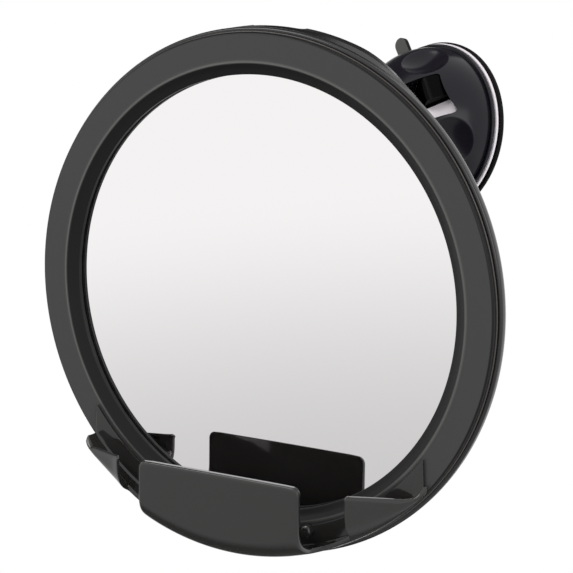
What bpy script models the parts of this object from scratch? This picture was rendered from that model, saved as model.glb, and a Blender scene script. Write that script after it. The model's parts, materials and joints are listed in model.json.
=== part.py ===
"""Fogless shower mirror with a razor tray, a swivel arm and a lever-locked suction cup.

The wall is the plane y = 0 and the room lies towards -Y. The origin is the centre of the
suction pad's wall face, +Z is up and +X is to the right of someone facing the wall.
A height is always measured from the wall, or from the ring's front plane, towards the room.
"""

import math

import bmesh
import bpy
from mathutils import Matrix, Vector

mm = 0.001

# Shared clearances and counts
seat_gap = 0.3 * mm
run_gap = 0.3 * mm
cut_overrun = 4.0 * mm
head_sides = 48
cup_sides = 32
joint_sides = 20
small_sides = 8

# Mirror head, radii about its own axis and heights from the ring's front plane
ring_radius = 101.5 * mm
ring_edge_fillet = 1.0 * mm
ring_side_depth = 2.0 * mm
ring_face_width = 11.5 * mm
ridge_rise = 0.4 * mm
bevel_width = 4.7 * mm
lip_depth = 2.0 * mm
lip_thickness = 1.7 * mm
deck_depth = 4.0 * mm
skirt_wall = 1.6 * mm
skirt_depth = 10.0 * mm
skirt_inset = 4.0 * mm
glass_depth = 4.75 * mm
glass_thickness = 3.0 * mm
glass_overlap = 5.2 * mm
seal_thickness = 0.5 * mm
bead_thickness = 0.8 * mm
bead_overhang = 0.4 * mm
bead_width = 2.1 * mm
retainer_thickness = 1.8 * mm
retainer_overlap = 6.5 * mm
retainer_screw_count = 6
retainer_screw_offset = 2.9 * mm
retainer_boss_radius = 2.3 * mm
fine_screw_radius = 1.1 * mm
fine_head_radius = 2.1 * mm
fine_head_thickness = 1.2 * mm
fine_screw_depth = 2.4 * mm

# Back shell, which is the warm water chamber
shell_wall = 2.0 * mm
shell_overhang = 1.8 * mm
shell_shoulder_depth = 7.0 * mm
shell_back_depth = 21.0 * mm
shell_taper = 5.3 * mm
shell_back_round = 12.0 * mm
hump_rise = 7.5 * mm
hump_flat_half_angle = math.radians(20)
hump_foot_half_angle = math.radians(50)
mouth_half_width = 12.0 * mm
mouth_depth_span = 7.0 * mm
mouth_depth = 15.5 * mm

# Ball joint behind the head
ball_depth = 26.0 * mm
ball_radius = 8.0 * mm
neck_radius = 3.0 * mm
neck_length = 16.0 * mm
friction_ring_wall = 1.5 * mm
friction_ring_half_angle = math.radians(28)
socket_thread_radius = 12.5 * mm
socket_floor_angle = math.radians(140)
socket_floor_thickness = 2.6 * mm
socket_flange_radius = 24.0 * mm
socket_flange_thickness = 2.0 * mm
socket_screw_count = 4
socket_screw_radius = 20.5 * mm
socket_screw_shank = 1.3 * mm
socket_screw_head = 2.4 * mm
socket_screw_head_thickness = 1.4 * mm
socket_screw_length = 6.0 * mm
nut_radius = 16.0 * mm
nut_lobes = 12
nut_lobe_depth = 0.7 * mm
nut_mouth_angle = math.radians(52)
nut_top = 9.0 * mm
nut_mouth_flare = 10.6 * mm
nut_thread_wall = 2.0 * mm

# Razor tray, across and up from the ring's centre, heights from the ring's front plane
tray_front_height = 22.0 * mm
tray_wall = 2.0 * mm
tray_saddle_thickness = 1.0 * mm
tray_fillet_power = 2.6
tray_shift = -3.7 * mm
tray_half_width = 77.5 * mm
saddle_half_width = 75.3 * mm
centre_flap_half_width = 36.5 * mm
centre_flap_span = 34.5 * mm
centre_flap_corner = 5.5 * mm
side_flap_start = 51.5 * mm
side_flap_span = 32.0 * mm
side_flap_rise = 3.0 * mm
side_flap_corner = 7.0 * mm
side_flap_height = 15.5 * mm
side_flap_tip_height = 7.0 * mm
notch_floor_height = 9.0 * mm
tray_screw_spread = 26.0 * mm
tray_boss_radius = 2.4 * mm
tray_boss_height = 5.0 * mm

# Suction cup, heights from the wall
slot_direction = math.radians(32)
pad_radius = 36.8 * mm
pad_thickness = 2.4 * mm
pad_web = 1.0 * mm
pad_boss_radius = 8.6 * mm
pad_boss_height = 6.4 * mm
pad_lip = 1.6 * mm
tab_turn = math.radians(4)
tab_reach = 9.5 * mm
tab_half_width = 3.1 * mm
tab_thickness = 2.0 * mm
plate_radius = 36.0 * mm
plate_thickness = 1.2 * mm
plate_middle_radius = 30.5 * mm
plate_middle_thickness = 2.6 * mm
deck_radius = 12.5 * mm
deck_height = 10.0 * mm
deck_hole_radius = 5.2 * mm
deck_roof = 2.4 * mm
flange_radius = 35.5 * mm
flange_thickness = 1.6 * mm
groove_width = 0.5 * mm
groove_depth = 0.7 * mm
dome_radius = 34.0 * mm
dome_height = 36.0 * mm
dome_power = 1.9
dome_steps = 8
dome_wall = 2.2 * mm
cap_radius = 9.5 * mm
cap_wall = 3.0 * mm
slot_half_width = 9.3 * mm
slot_inner_end = 8.6 * mm
slot_outer_end = 28.3 * mm
slot_floor = 9.0 * mm
scoop_radius = 17.0 * mm
scoop_depth = 4.2 * mm
scoop_turn = math.radians(43)
scoop_slope = math.radians(42)
scoop_surface_radius = 29.5 * mm
scoop_surface_height = 20.0 * mm
cover_screw_ring_radius = 24.0 * mm
cover_screw_turns = (math.radians(115), math.radians(180), math.radians(245))
cover_boss_radius = 3.4 * mm
cover_screw_shank = 1.3 * mm
cover_screw_head = 2.7 * mm
cover_screw_head_thickness = 1.2 * mm
cover_screw_length = 9.0 * mm

# Cam lever and pull stem
pin_height = 18.0 * mm
pin_radius = 1.5 * mm
pin_half_length = 6.8 * mm
stem_half_width = 3.3 * mm
stem_neck_radius = 4.0 * mm
stem_head_radius = 6.0 * mm
stem_head_thickness = 1.6 * mm
stem_top_rise = 3.6 * mm
stem_shoulder = 1.0 * mm
cam_offset = 2.0 * mm
cam_phase = math.radians(50)
lever_travel = math.radians(36)
hub_half_width = 7.3 * mm
lever_low_side = 5.8 * mm
lever_high_side = 8.9 * mm
lever_floor = 14.0 * mm
lever_beam_top = 22.0 * mm
lever_shoulder_reach = 12.0 * mm
lever_crown_reach = 20.0 * mm
lever_crown_height = 27.0 * mm
lever_tip_reach = 27.6 * mm
lever_tip_height = 19.5 * mm
lever_split_reach = 11.5 * mm
lever_edge = 0.8 * mm

# Swivel fork and arm
fork_base_radius = 8.0 * mm
fork_base_thickness = 3.0 * mm
fork_spigot_radius = 4.0 * mm
ear_inner = 4.6 * mm
ear_outer = 7.3 * mm
ear_radius = 5.8 * mm
knuckle_radius = 5.6 * mm
washer_radius = 6.4 * mm
washer_thickness = 1.2 * mm
swivel_screw_shank = 1.5 * mm
swivel_screw_head = 3.0 * mm
swivel_screw_head_thickness = 1.8 * mm
swivel_screw_length = 5.5 * mm
pivot_shank_radius = 2.0 * mm
pivot_head_radius = 4.2 * mm
pivot_head_thickness = 2.4 * mm
pivot_nut_thickness = 3.0 * mm
arm_half_width = 5.8 * mm
arm_half_thickness = 4.2 * mm
arm_end_radius = 5.0 * mm
arm_bend_radius = 13.0 * mm
arm_socket_depth = 9.0 * mm
stud_shank_radius = 2.2 * mm
arm_steps = 7

# Where the head stands at rest, which is the pose of the photograph
head_turn = math.radians(16.8)
head_lean = math.radians(11.7)
ball_drop = 69.5 * mm
ball_reach = 73.9 * mm

# Radii, heights and places that follow from the sizes above
ridge_radius = ring_radius - ring_face_width
lip_radius = ridge_radius - bevel_width
glass_radius = lip_radius + glass_overlap
retainer_inner_radius = glass_radius - retainer_overlap
retainer_screw_radius = glass_radius + retainer_screw_offset
shell_radius = ring_radius + shell_overhang
shell_shoulder_radius = shell_radius - shell_taper
shell_back_radius = shell_shoulder_radius - shell_back_round
centre_flap_drop = ring_radius - centre_flap_span
side_flap_drop = ring_radius - side_flap_span
plate_base = pad_thickness + seat_gap
plate_top = plate_base + plate_thickness
plate_middle_top = plate_base + plate_middle_thickness
cover_base = plate_top + seat_gap
flange_top = cover_base + flange_thickness
fork_base = dome_height + seat_gap
fork_base_top = fork_base + fork_base_thickness
pivot_height = fork_base_top + knuckle_radius + run_gap
cap_underside = dome_height - cap_wall
deck_to_pin = pin_height - deck_height
cam_radius = deck_to_pin - cam_offset * math.cos(cam_phase) - run_gap
stem_travel = cam_offset * (math.cos(cam_phase) - math.cos(cam_phase + lever_travel))
glass_back = glass_depth + glass_thickness
seat_radius = ball_radius + run_gap + friction_ring_wall + run_gap
skirt_radius = ring_radius - skirt_inset
side_flap_end = ring_radius + cut_overrun
rim_front = ring_side_depth + seat_gap + bead_thickness + seat_gap


def principled(name, colour, roughness, metallic=0.0):
    """A plain material with the part's own colour and finish."""
    material = bpy.data.materials.new(name)
    material.use_nodes = True
    shader = material.node_tree.nodes["Principled BSDF"]
    shader.inputs["Base Color"].default_value = (*colour, 1.0)
    shader.inputs["Roughness"].default_value = roughness
    shader.inputs["Metallic"].default_value = metallic
    return material


def arc(centre, radius, start, end, steps):
    """Points along an arc, both ends included."""
    angles = [start + (end - start) * i / steps for i in range(steps + 1)]
    return [(centre[0] + radius * math.cos(a), centre[1] + radius * math.sin(a)) for a in angles]


def turned(outline, sides, swell=None):
    """Turn a closed (radius, height) outline about the axis that points to the room.

    swell(radius, height, angle) gives the radius at one angle, where the form is not round.
    Each ring starts half a side round, so that an upright line never runs through a corner.
    """
    verts, rings = [], []
    for radius, height in outline:
        count = 1 if radius == 0 else sides
        rings.append([len(verts) + i for i in range(count)])
        for i in range(count):
            angle = 2 * math.pi * (i + 0.5) / sides
            r = swell(radius, height, angle) if swell and radius else radius
            verts.append((r * math.cos(angle), -height, r * math.sin(angle)))
    faces = []
    for low, high in zip(rings, rings[1:] + rings[:1]):
        if len(low) == 1 and len(high) == 1:
            continue
        for i in range(sides):
            corners = [low[i % len(low)], low[(i + 1) % len(low)]]
            corners += [high[(i + 1) % len(high)], high[i % len(high)]]
            faces.append(tuple(dict.fromkeys(corners)))
    return verts, faces


def prism(outline, low, high, place):
    """Extrude a closed outline from low to high; place turns (a, b, c) into a point."""
    count = len(outline)
    verts = [place(a, b, c) for c in (low, high) for a, b in outline]
    faces = [(i, (i + 1) % count, count + (i + 1) % count, count + i) for i in range(count)]
    faces += [tuple(range(count)), tuple(range(2 * count - 1, count - 1, -1))]
    return verts, faces


def facing(a, b, c):
    """An outline drawn across and up, extruded towards the room."""
    return (a, -c, b)


def plan(a, b, c):
    """An outline drawn across and towards the room, extruded upwards."""
    return (a, -b, c)


def side(a, b, c):
    """An outline drawn towards the room and up, extruded across."""
    return (c, -a, b)


def box(low, high):
    """A block between two corners, each (across, height, up)."""
    outline = [(low[0], low[1]), (high[0], low[1]), (high[0], high[1]), (low[0], high[1])]
    return prism(outline, low[2], high[2], plan)


def moved(shape, matrix):
    verts, faces = shape
    return [tuple(matrix @ Vector(v)) for v in verts], faces


def at(across, height, up):
    return Matrix.Translation((across, -height, up))


def aimed(direction):
    """The turn that points a turned shape's heights along a direction."""
    return Vector((0, -1, 0)).rotation_difference(Vector(direction)).to_matrix().to_4x4()


def joined(shapes):
    """Shapes that lie clear of each other, as one shape."""
    verts, faces = [], []
    for more_verts, more_faces in shapes:
        start = len(verts)
        verts += more_verts
        faces += [tuple(start + i for i in face) for face in more_faces]
    return verts, faces


def build_object(name, shape, parent):
    mesh = bpy.data.meshes.new(name)
    mesh.from_pydata([Vector(v) for v in shape[0]], [], shape[1])
    editable = bmesh.new()
    editable.from_mesh(mesh)
    bmesh.ops.recalc_face_normals(editable, faces=editable.faces)
    editable.to_mesh(mesh)
    editable.free()
    thing = bpy.data.objects.new(name, mesh)
    bpy.context.collection.objects.link(thing)
    thing.parent = parent
    return thing


def piece(name, shape, material, parent=None):
    thing = build_object(name, shape, parent)
    thing.data.materials.append(material)
    thing.data.shade_smooth()
    thing.data.set_sharp_from_angle(angle=math.radians(32))
    return thing


def combine(target, shape, operation, label, parent=None):
    """Cut a shape from a piece, or join it on, with a tool object that is not rendered."""
    tool = build_object(target.name + "_" + label, shape, parent or target.parent)
    tool.hide_render = True
    tool.display_type = "WIRE"
    change = target.modifiers.new(label, "BOOLEAN")
    change.operation = operation
    change.object = tool
    return tool


def empty(name, location, rotation=(0, 0, 0), parent=None):
    holder = bpy.data.objects.new(name, None)
    bpy.context.collection.objects.link(holder)
    holder.location = location
    holder.rotation_euler = rotation
    holder.parent = parent
    return holder


def screw(head_radius, head_thickness, shank_radius, length):
    """A screw whose head stands on height zero and whose shank runs below it."""
    crown = head_thickness / 2
    crown_radius = head_radius - crown
    outline = [(0, -length), (shank_radius, -length), (shank_radius, 0), (head_radius, 0)]
    outline += [(head_radius, crown), (crown_radius, head_thickness), (0, head_thickness)]
    return turned(outline, small_sides)


def rod(radius, low, high, sides=small_sides):
    return turned([(0, low), (radius, low), (radius, high), (0, high)], sides)


def around(count, radius, start=0.0):
    """Places on a circle, each (across, up)."""
    angles = [start + 2 * math.pi * i / count for i in range(count)]
    return [(radius * math.cos(a), radius * math.sin(a)) for a in angles]


def make_materials():
    return {
        "satin_ring": principled("Satin dark grey ABS", (0.066, 0.064, 0.062), 0.42),
        "gloss_tray": principled("Gloss black ABS", (0.040, 0.038, 0.036), 0.12),
        "shell_black": principled("Black ABS shell", (0.028, 0.024, 0.022), 0.35),
        "bead_grey": principled("Grey seam bead", (0.12, 0.11, 0.10), 0.35),
        "mirror": principled("Silvered glass", (0.86, 0.87, 0.87), 0.02, 1.0),
        "rubber": principled("Black rubber", (0.012, 0.012, 0.012), 0.6),
        "plate_white": principled("Natural white PP", (0.82, 0.76, 0.80), 0.4),
        "dome_gloss": principled("Gloss blue black ABS", (0.045, 0.043, 0.060), 0.15),
        "lever_black": principled("Black POM", (0.010, 0.010, 0.010), 0.3),
        "steel": principled("Stainless steel", (0.62, 0.62, 0.63), 0.3, 1.0),
        "nylon": principled("Grey nylon", (0.16, 0.16, 0.165), 0.5),
    }


def dome_points(radius, base, top, seat, steps):
    """The dome's curve from its foot up to its flat seat."""
    points = []
    for i in range(steps + 1):
        angle = math.radians(82) * i / steps
        r = radius * math.cos(angle) ** (2 / dome_power)
        h = base + (top - base) * math.sin(angle) ** (2 / dome_power)
        if r > seat:
            points.append((r, h))
    return points


def make_cup(paint, slot_frame):
    """The pad, the white plate, the domed cover and its screws, fixed to the wall."""
    pocket_top = pad_boss_height - pad_lip
    neck_hole = stem_neck_radius + run_gap
    pocket = stem_head_radius + 2 * run_gap
    pad_outline = [(0, 0), (pad_radius - seat_gap, 0), (pad_radius, pad_thickness / 2)]
    pad_outline += [(pad_radius - seat_gap, pad_thickness), (pad_boss_radius, pad_thickness)]
    pad_outline += [(pad_boss_radius, pad_boss_height), (neck_hole, pad_boss_height)]
    pad_outline += [(neck_hole, pocket_top), (pocket, pocket_top), (pocket, pad_web), (0, pad_web)]
    pad = piece("suction_pad", turned(pad_outline, cup_sides), paint["rubber"], slot_frame)
    tab_inner = pad_radius - tab_half_width * 2
    tab_end = pad_radius + tab_reach - tab_half_width
    tab_outline = [(tab_half_width, tab_inner)]
    tab_outline += arc((0, tab_end), tab_half_width, 0, math.pi, 8)
    tab_outline += [(-tab_half_width, tab_inner)]
    tab_low = (pad_thickness - tab_thickness) / 2
    tab = prism(tab_outline, tab_low, tab_low + tab_thickness, facing)
    combine(pad, moved(tab, Matrix.Rotation(-tab_turn, 4, "Y")), "UNION", "tab")

    hole = pad_boss_radius + seat_gap
    plate_outline = [(hole, plate_base), (plate_radius, plate_base), (plate_radius, plate_top)]
    plate_outline += [(plate_middle_radius, plate_top), (plate_middle_radius, plate_middle_top)]
    plate_outline += [(deck_radius, plate_middle_top), (deck_radius, deck_height)]
    plate_outline += [(deck_hole_radius, deck_height)]
    plate_outline += [(deck_hole_radius, deck_height - deck_roof), (hole, deck_height - deck_roof)]
    plate = piece("pressure_plate", turned(plate_outline, cup_sides), paint["plate_white"], slot_frame)

    groove_outer = dome_radius + groove_width
    spigot_hole = fork_spigot_radius + run_gap
    cover_outline = [(spigot_hole, cover_base), (flange_radius, cover_base), (flange_radius, flange_top)]
    cover_outline += [(groove_outer, flange_top), (groove_outer, flange_top - groove_depth)]
    cover_outline += [(dome_radius, flange_top - groove_depth)]
    cover_outline += dome_points(dome_radius, flange_top, dome_height, cap_radius, dome_steps)
    cover_outline += [(cap_radius, dome_height), (spigot_hole, dome_height)]
    cover = piece("cup_cover", turned(cover_outline, cup_sides), paint["dome_gloss"], slot_frame)

    inner_radius = dome_radius - dome_wall
    hollow_outline = [(0, cover_base - cut_overrun), (inner_radius, cover_base - cut_overrun)]
    hollow_outline += dome_points(inner_radius, cover_base, cap_underside, cap_radius, dome_steps)
    hollow_outline += [(cap_radius, cap_underside), (0, cap_underside)]
    hollow = turned(hollow_outline, cup_sides)
    scoop_reach = scoop_radius - scoop_depth
    scoop_out = scoop_surface_radius + scoop_reach * math.cos(scoop_slope)
    scoop_up = scoop_surface_height + scoop_reach * math.sin(scoop_slope)
    scoops, scoop_walls, bosses, bores, sunk_bores = [], [], [], [], []
    for turn in (scoop_turn, -scoop_turn):
        place = at(scoop_out * math.cos(turn), scoop_up, scoop_out * math.sin(turn))
        for radius, balls in ((scoop_radius, scoops), (scoop_radius + dome_wall, scoop_walls)):
            outline = [(0, -radius)] + arc((0, 0), radius, -math.pi / 2, math.pi / 2, 8)[1:-1]
            balls.append(moved(turned(outline + [(0, radius)], joint_sides), place))
    hollow_tool = combine(cover, hollow, "DIFFERENCE", "hollow")
    combine(hollow_tool, joined(scoop_walls), "DIFFERENCE", "scoop_walls")
    combine(cover, joined(scoops), "DIFFERENCE", "scoops")
    slot = box((slot_inner_end, slot_floor, -slot_half_width),
               (slot_outer_end, dome_height + cut_overrun, slot_half_width))
    combine(cover, slot, "DIFFERENCE", "slot")

    head_height = plate_base + seat_gap + cover_screw_head_thickness
    for number, turn in enumerate(cover_screw_turns):
        place = at(cover_screw_ring_radius * math.cos(turn), 0, cover_screw_ring_radius * math.sin(turn))
        boss = rod(cover_boss_radius, plate_middle_top + seat_gap, dome_height)
        bosses.append(moved(boss, place))
        shank_hole = cover_screw_shank + seat_gap
        bore_end = head_height + cover_screw_length + seat_gap
        bores.append(moved(rod(shank_hole, cover_base - cut_overrun, bore_end), place))
        sink = cover_screw_head + seat_gap
        sunk = [(0, plate_base - cut_overrun), (sink, plate_base - cut_overrun)]
        sunk += [(sink, head_height + seat_gap), (shank_hole, head_height + seat_gap)]
        sunk += [(shank_hole, bore_end), (0, bore_end)]
        sunk_bores.append(moved(turned(sunk, small_sides), place))
        shape = screw(cover_screw_head, cover_screw_head_thickness, cover_screw_shank, cover_screw_length)
        upright = place @ at(0, head_height, 0) @ Matrix.Rotation(math.pi, 4, "X")
        piece(f"cover_screw_{number + 1}", moved(shape, upright), paint["steel"], slot_frame)
    combine(hollow_tool, joined(bosses), "DIFFERENCE", "bosses")
    combine(cover, joined(bores), "DIFFERENCE", "bores")
    combine(plate, joined(sunk_bores), "DIFFERENCE", "bores")


def make_stem(paint, stem_frame):
    """The pull stem and its cross pin, which rise and fall on the cup's axis."""
    head_base = pad_boss_height - pad_lip - run_gap - stem_head_thickness - pin_height
    head_top = head_base + stem_head_thickness
    bar_base = pad_boss_height + stem_travel + run_gap - pin_height
    neck_top = bar_base + stem_shoulder
    bar = box((-stem_half_width, bar_base, -stem_half_width),
              (stem_half_width, stem_top_rise, stem_half_width))
    stem = piece("pull_stem", bar, paint["nylon"], stem_frame)
    foot_outline = [(0, head_base), (stem_head_radius, head_base), (stem_head_radius, head_top)]
    foot_outline += [(stem_neck_radius, head_top), (stem_neck_radius, neck_top), (0, neck_top)]
    combine(stem, turned(foot_outline, joint_sides), "UNION", "foot")
    across = aimed((0, 0, 1))
    pin_hole = moved(rod(pin_radius + run_gap, -hub_half_width, hub_half_width), across)
    combine(stem, pin_hole, "DIFFERENCE", "pin_hole")
    pin = moved(rod(pin_radius, -pin_half_length, pin_half_length), across)
    piece("lever_pin", pin, paint["steel"], stem_frame)


def make_lever(paint, stem_frame):
    """The cam lever, whose hub straddles the stem and whose paddle lies in the cover's slot."""
    hub_centre = (cam_offset * math.sin(cam_phase), -cam_offset * math.cos(cam_phase))
    hub = prism(arc(hub_centre, cam_radius, 0, 2 * math.pi, 28)[:-1],
                -hub_half_width, hub_half_width, plan)
    lever = piece("lock_lever", hub, paint["lever_black"], stem_frame)
    floor = lever_floor - pin_height
    beam_top = lever_beam_top - pin_height
    crown = lever_crown_height - pin_height
    tip = lever_tip_height - pin_height
    beam_outline = [(0, floor), (lever_tip_reach - lever_edge, floor), (lever_tip_reach, floor + lever_edge)]
    beam_outline += [(lever_tip_reach, tip), (lever_crown_reach + 4 * lever_edge, crown - lever_edge)]
    beam_outline += [(lever_crown_reach, crown), (lever_shoulder_reach, beam_top), (0, beam_top)]
    beam = prism(beam_outline, -lever_low_side, lever_high_side, plan)
    slim = box((-cam_radius * 2, -cam_radius * 2, hub_half_width),
               (lever_split_reach, cam_radius * 3, hub_half_width + cut_overrun))
    split = box((-cam_radius * 2, -cam_radius * 2, -stem_half_width - run_gap),
                (lever_split_reach, cam_radius * 3, stem_half_width + run_gap))
    combine(lever, beam, "UNION", "beam")
    combine(lever, slim, "DIFFERENCE", "slim")
    combine(lever, split, "DIFFERENCE", "split")
    bore_reach = hub_half_width + cut_overrun
    bore = moved(rod(pin_radius + run_gap, -bore_reach, bore_reach), aimed((0, 0, 1)))
    combine(lever, bore, "DIFFERENCE", "bore")


def make_fork(paint):
    """The swivel fork on the dome, held from below by a washer and a screw."""
    holder = empty("swivel_axis", (0, 0, 0))
    washer_top = cap_underside - run_gap
    spigot_end = washer_top
    base_outline = [(0, spigot_end), (fork_spigot_radius, spigot_end), (fork_spigot_radius, fork_base)]
    base_outline += [(fork_base_radius, fork_base), (fork_base_radius, fork_base_top), (0, fork_base_top)]
    fork = piece("swivel_fork", turned(base_outline, joint_sides), paint["dome_gloss"], holder)
    ear_outline = [(fork_base_top - fork_base_thickness / 2, -ear_radius)]
    ear_outline += arc((pivot_height, 0), ear_radius, -math.pi / 2, math.pi / 2, 10)
    ear_outline += [(fork_base_top - fork_base_thickness / 2, ear_radius)]
    ears = [prism(ear_outline, ear_inner, ear_outer, side)]
    ears.append(prism(ear_outline, -ear_outer, -ear_inner, side))
    combine(fork, joined(ears), "UNION", "ears")
    round_off = turned([(fork_base_radius, fork_base), (2 * fork_base_radius, fork_base),
                        (2 * fork_base_radius, fork_base_top), (fork_base_radius, fork_base_top)],
                       joint_sides)
    combine(fork, round_off, "DIFFERENCE", "round_off")
    across = at(0, pivot_height, 0) @ aimed((1, 0, 0))
    reach = ear_outer + cut_overrun
    hole = moved(rod(pivot_shank_radius + run_gap, -reach, reach), across)
    combine(fork, hole, "DIFFERENCE", "pivot_hole")
    screw_hole = rod(swivel_screw_shank + run_gap, spigot_end - cut_overrun,
                     washer_top + swivel_screw_length - washer_thickness)
    combine(fork, screw_hole, "DIFFERENCE", "screw_hole")

    washer_base = washer_top - run_gap - washer_thickness
    washer_outline = [(swivel_screw_shank + run_gap, washer_base), (washer_radius, washer_base)]
    washer_outline += [(washer_radius, washer_base + washer_thickness)]
    washer_outline += [(swivel_screw_shank + run_gap, washer_base + washer_thickness)]
    piece("swivel_washer", turned(washer_outline, joint_sides), paint["steel"], holder)
    shape = screw(swivel_screw_head, swivel_screw_head_thickness, swivel_screw_shank, swivel_screw_length)
    place = at(0, washer_base - seat_gap, 0) @ Matrix.Rotation(math.pi, 4, "X")
    piece("swivel_screw", moved(shape, place), paint["steel"], holder)

    head_face = ear_outer + seat_gap
    nut_end = head_face + pivot_nut_thickness
    bolt = screw(pivot_head_radius, pivot_head_thickness, pivot_shank_radius, head_face + nut_end)
    piece("pivot_bolt", moved(bolt, across @ at(0, head_face, 0)), paint["steel"], holder)
    nut_hole = pivot_shank_radius + seat_gap
    nut_outline = [(nut_hole, -nut_end), (pivot_head_radius, -nut_end)]
    nut_outline += [(pivot_head_radius, -head_face), (nut_hole, -head_face)]
    piece("pivot_nut", moved(turned(nut_outline, 6), across), paint["steel"], holder)


def arm_path():
    """The arm's middle line, as (height, up, share of the way), from the knuckle to the neck."""
    start = Vector((pivot_height, 0))
    neck = Vector((-math.cos(head_lean), math.sin(head_lean)))
    ball = Vector((ball_reach, -ball_drop))
    end = ball + neck * neck_length
    outward = -neck
    corner = end + neck * arm_bend_radius
    down = (corner - start).normalized()
    turn = down.angle(outward)
    tangent = arm_bend_radius * math.tan(turn / 2)
    bend_start = corner - down * tangent
    bend_end = corner + outward * tangent
    points = [start + (bend_start - start) * i / arm_steps for i in range(arm_steps)]
    for i in range(arm_steps + 1):
        t = i / arm_steps
        points.append((1 - t) ** 2 * bend_start + 2 * t * (1 - t) * corner + t * t * bend_end)
    points.append(end)
    return points


def swept_arm():
    points = arm_path()
    verts, faces = [], []
    count = len(points)
    for i, point in enumerate(points):
        before = points[max(i - 1, 0)]
        after = points[min(i + 1, count - 1)]
        along = (after - before).normalized()
        across = Vector((-along.y, along.x))
        share = i / (count - 1)
        belly = math.sin(math.pi * share) ** 2
        narrow = ear_inner - 2 * run_gap
        wide = narrow + (arm_end_radius - narrow) * share + (arm_half_width - ear_inner) * belly
        thick = arm_half_thickness + (arm_end_radius - arm_half_thickness) * share
        for k in range(small_sides):
            angle = 2 * math.pi * k / small_sides
            spot = point + across * thick * math.sin(angle)
            verts.append((wide * math.cos(angle), -spot.x, spot.y))
    for i in range(count - 1):
        for k in range(small_sides):
            a, b = i * small_sides + k, i * small_sides + (k + 1) % small_sides
            faces.append((a, b, b + small_sides, a + small_sides))
    faces.append(tuple(range(small_sides)))
    faces.append(tuple(range((count - 1) * small_sides, count * small_sides)))
    return verts, faces


def make_arm(paint):
    """The arm from the fork to the ball, and the steel ball stud screwed into its end."""
    pivot = empty("pivot_axis", (0, -pivot_height, 0))
    to_pivot = Matrix.Translation((0, pivot_height, 0))
    arm = piece("mirror_arm", moved(swept_arm(), to_pivot), paint["dome_gloss"], pivot)
    knuckle_half_width = ear_inner - run_gap
    across = aimed((1, 0, 0))
    knuckle = moved(rod(knuckle_radius, -knuckle_half_width, knuckle_half_width, joint_sides), across)
    combine(arm, knuckle, "UNION", "knuckle")
    hole = moved(rod(pivot_shank_radius + run_gap, -ear_outer, ear_outer), across)
    combine(arm, hole, "DIFFERENCE", "pivot_hole")

    stud_turn = Matrix.Rotation(math.pi + head_lean, 4, "X")
    ball_place = at(0, ball_reach, -ball_drop)
    stud_end = neck_length + arm_socket_depth
    collar = neck_length - seat_gap
    lowest = -math.pi / 2
    neck_angle = math.acos(neck_radius / ball_radius)
    stud_outline = [(0, -ball_radius)] + arc((0, 0), ball_radius, lowest, neck_angle, 10)[1:]
    stud_outline += [(neck_radius, collar), (stud_shank_radius, collar)]
    stud_outline += [(stud_shank_radius, stud_end - seat_gap), (0, stud_end - seat_gap)]
    stud_place = to_pivot @ ball_place @ stud_turn
    socket = moved(rod(stud_shank_radius + seat_gap, collar, stud_end), stud_place)
    combine(arm, socket, "DIFFERENCE", "stud_hole")
    piece("ball_stud", moved(turned(stud_outline, joint_sides), stud_place), paint["steel"], pivot)


def make_ball_grip(paint, head_frame):
    """The friction ring round the ball and the lobed nut that clamps it."""
    inner = ball_radius + run_gap
    outer = inner + friction_ring_wall
    half = friction_ring_half_angle
    ring_outline = arc((0, 0), inner, half, -half, 6) + arc((0, 0), outer, -half, half, 6)
    piece("friction_ring", turned(ring_outline, joint_sides), paint["nylon"], head_frame)

    mouth = nut_mouth_angle
    seat = [(r, -h) for r, h in arc((0, 0), seat_radius, math.radians(5), math.pi / 2 - mouth, 5)]
    skirt_base = -(shell_back_depth + seat_gap + socket_flange_thickness + run_gap - ball_depth)
    thread = socket_thread_radius + run_gap
    step = seat[0][1]
    nut_outline = [(thread, skirt_base), (nut_radius, skirt_base), (nut_radius, -nut_top + nut_thread_wall)]
    nut_outline += [(nut_radius - nut_thread_wall, -nut_top), (nut_mouth_flare, -nut_top)]
    nut_outline += seat[::-1] + [(thread, step)]

    def lobes(radius, height, angle):
        return radius - nut_lobe_depth * (1 + math.cos(nut_lobes * angle)) if radius > thread else radius

    piece("clamp_nut", turned(nut_outline, nut_lobes * 3, lobes), paint["shell_black"], head_frame)


def make_socket(paint, face_frame):
    """The socket cup that the head carries, and its screws into the shell."""
    flange_front = -(shell_back_depth + seat_gap)
    flange_back = flange_front - socket_flange_thickness
    thread_top = -(ball_depth + run_gap)
    seat_start = math.radians(-3)
    seat_end = math.pi / 2 - socket_floor_angle
    seat = arc((0, -ball_depth), seat_radius, -seat_start, -seat_end, 6)
    well_floor = seat[-1][1] + socket_floor_thickness
    outline = [seat[-1], (seat[-1][0], well_floor), (socket_thread_radius, well_floor)]
    outline += [(socket_thread_radius, flange_front), (socket_flange_radius, flange_front)]
    outline += [(socket_flange_radius, flange_back), (socket_thread_radius, flange_back)]
    outline += [(socket_thread_radius, seat[0][1]), *seat[:-1]]
    cup = piece("socket_cup", turned(outline, cup_sides), paint["shell_black"], face_frame)
    holes = []
    for number, (across, up) in enumerate(around(socket_screw_count, socket_screw_radius, math.pi / 4)):
        hole = rod(socket_screw_shank + seat_gap, flange_back - cut_overrun, flange_front + cut_overrun)
        holes.append(moved(hole, at(across, 0, up)))
        head = (socket_screw_head, socket_screw_head_thickness)
        shape = screw(*head, socket_screw_shank, socket_screw_length)
        place = at(across, flange_back - seat_gap, up) @ Matrix.Rotation(math.pi, 4, "X")
        piece(f"socket_screw_{number + 1}", moved(shape, place), paint["steel"], face_frame)
    combine(cup, joined(holes), "DIFFERENCE", "holes")
    return well_floor


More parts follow.
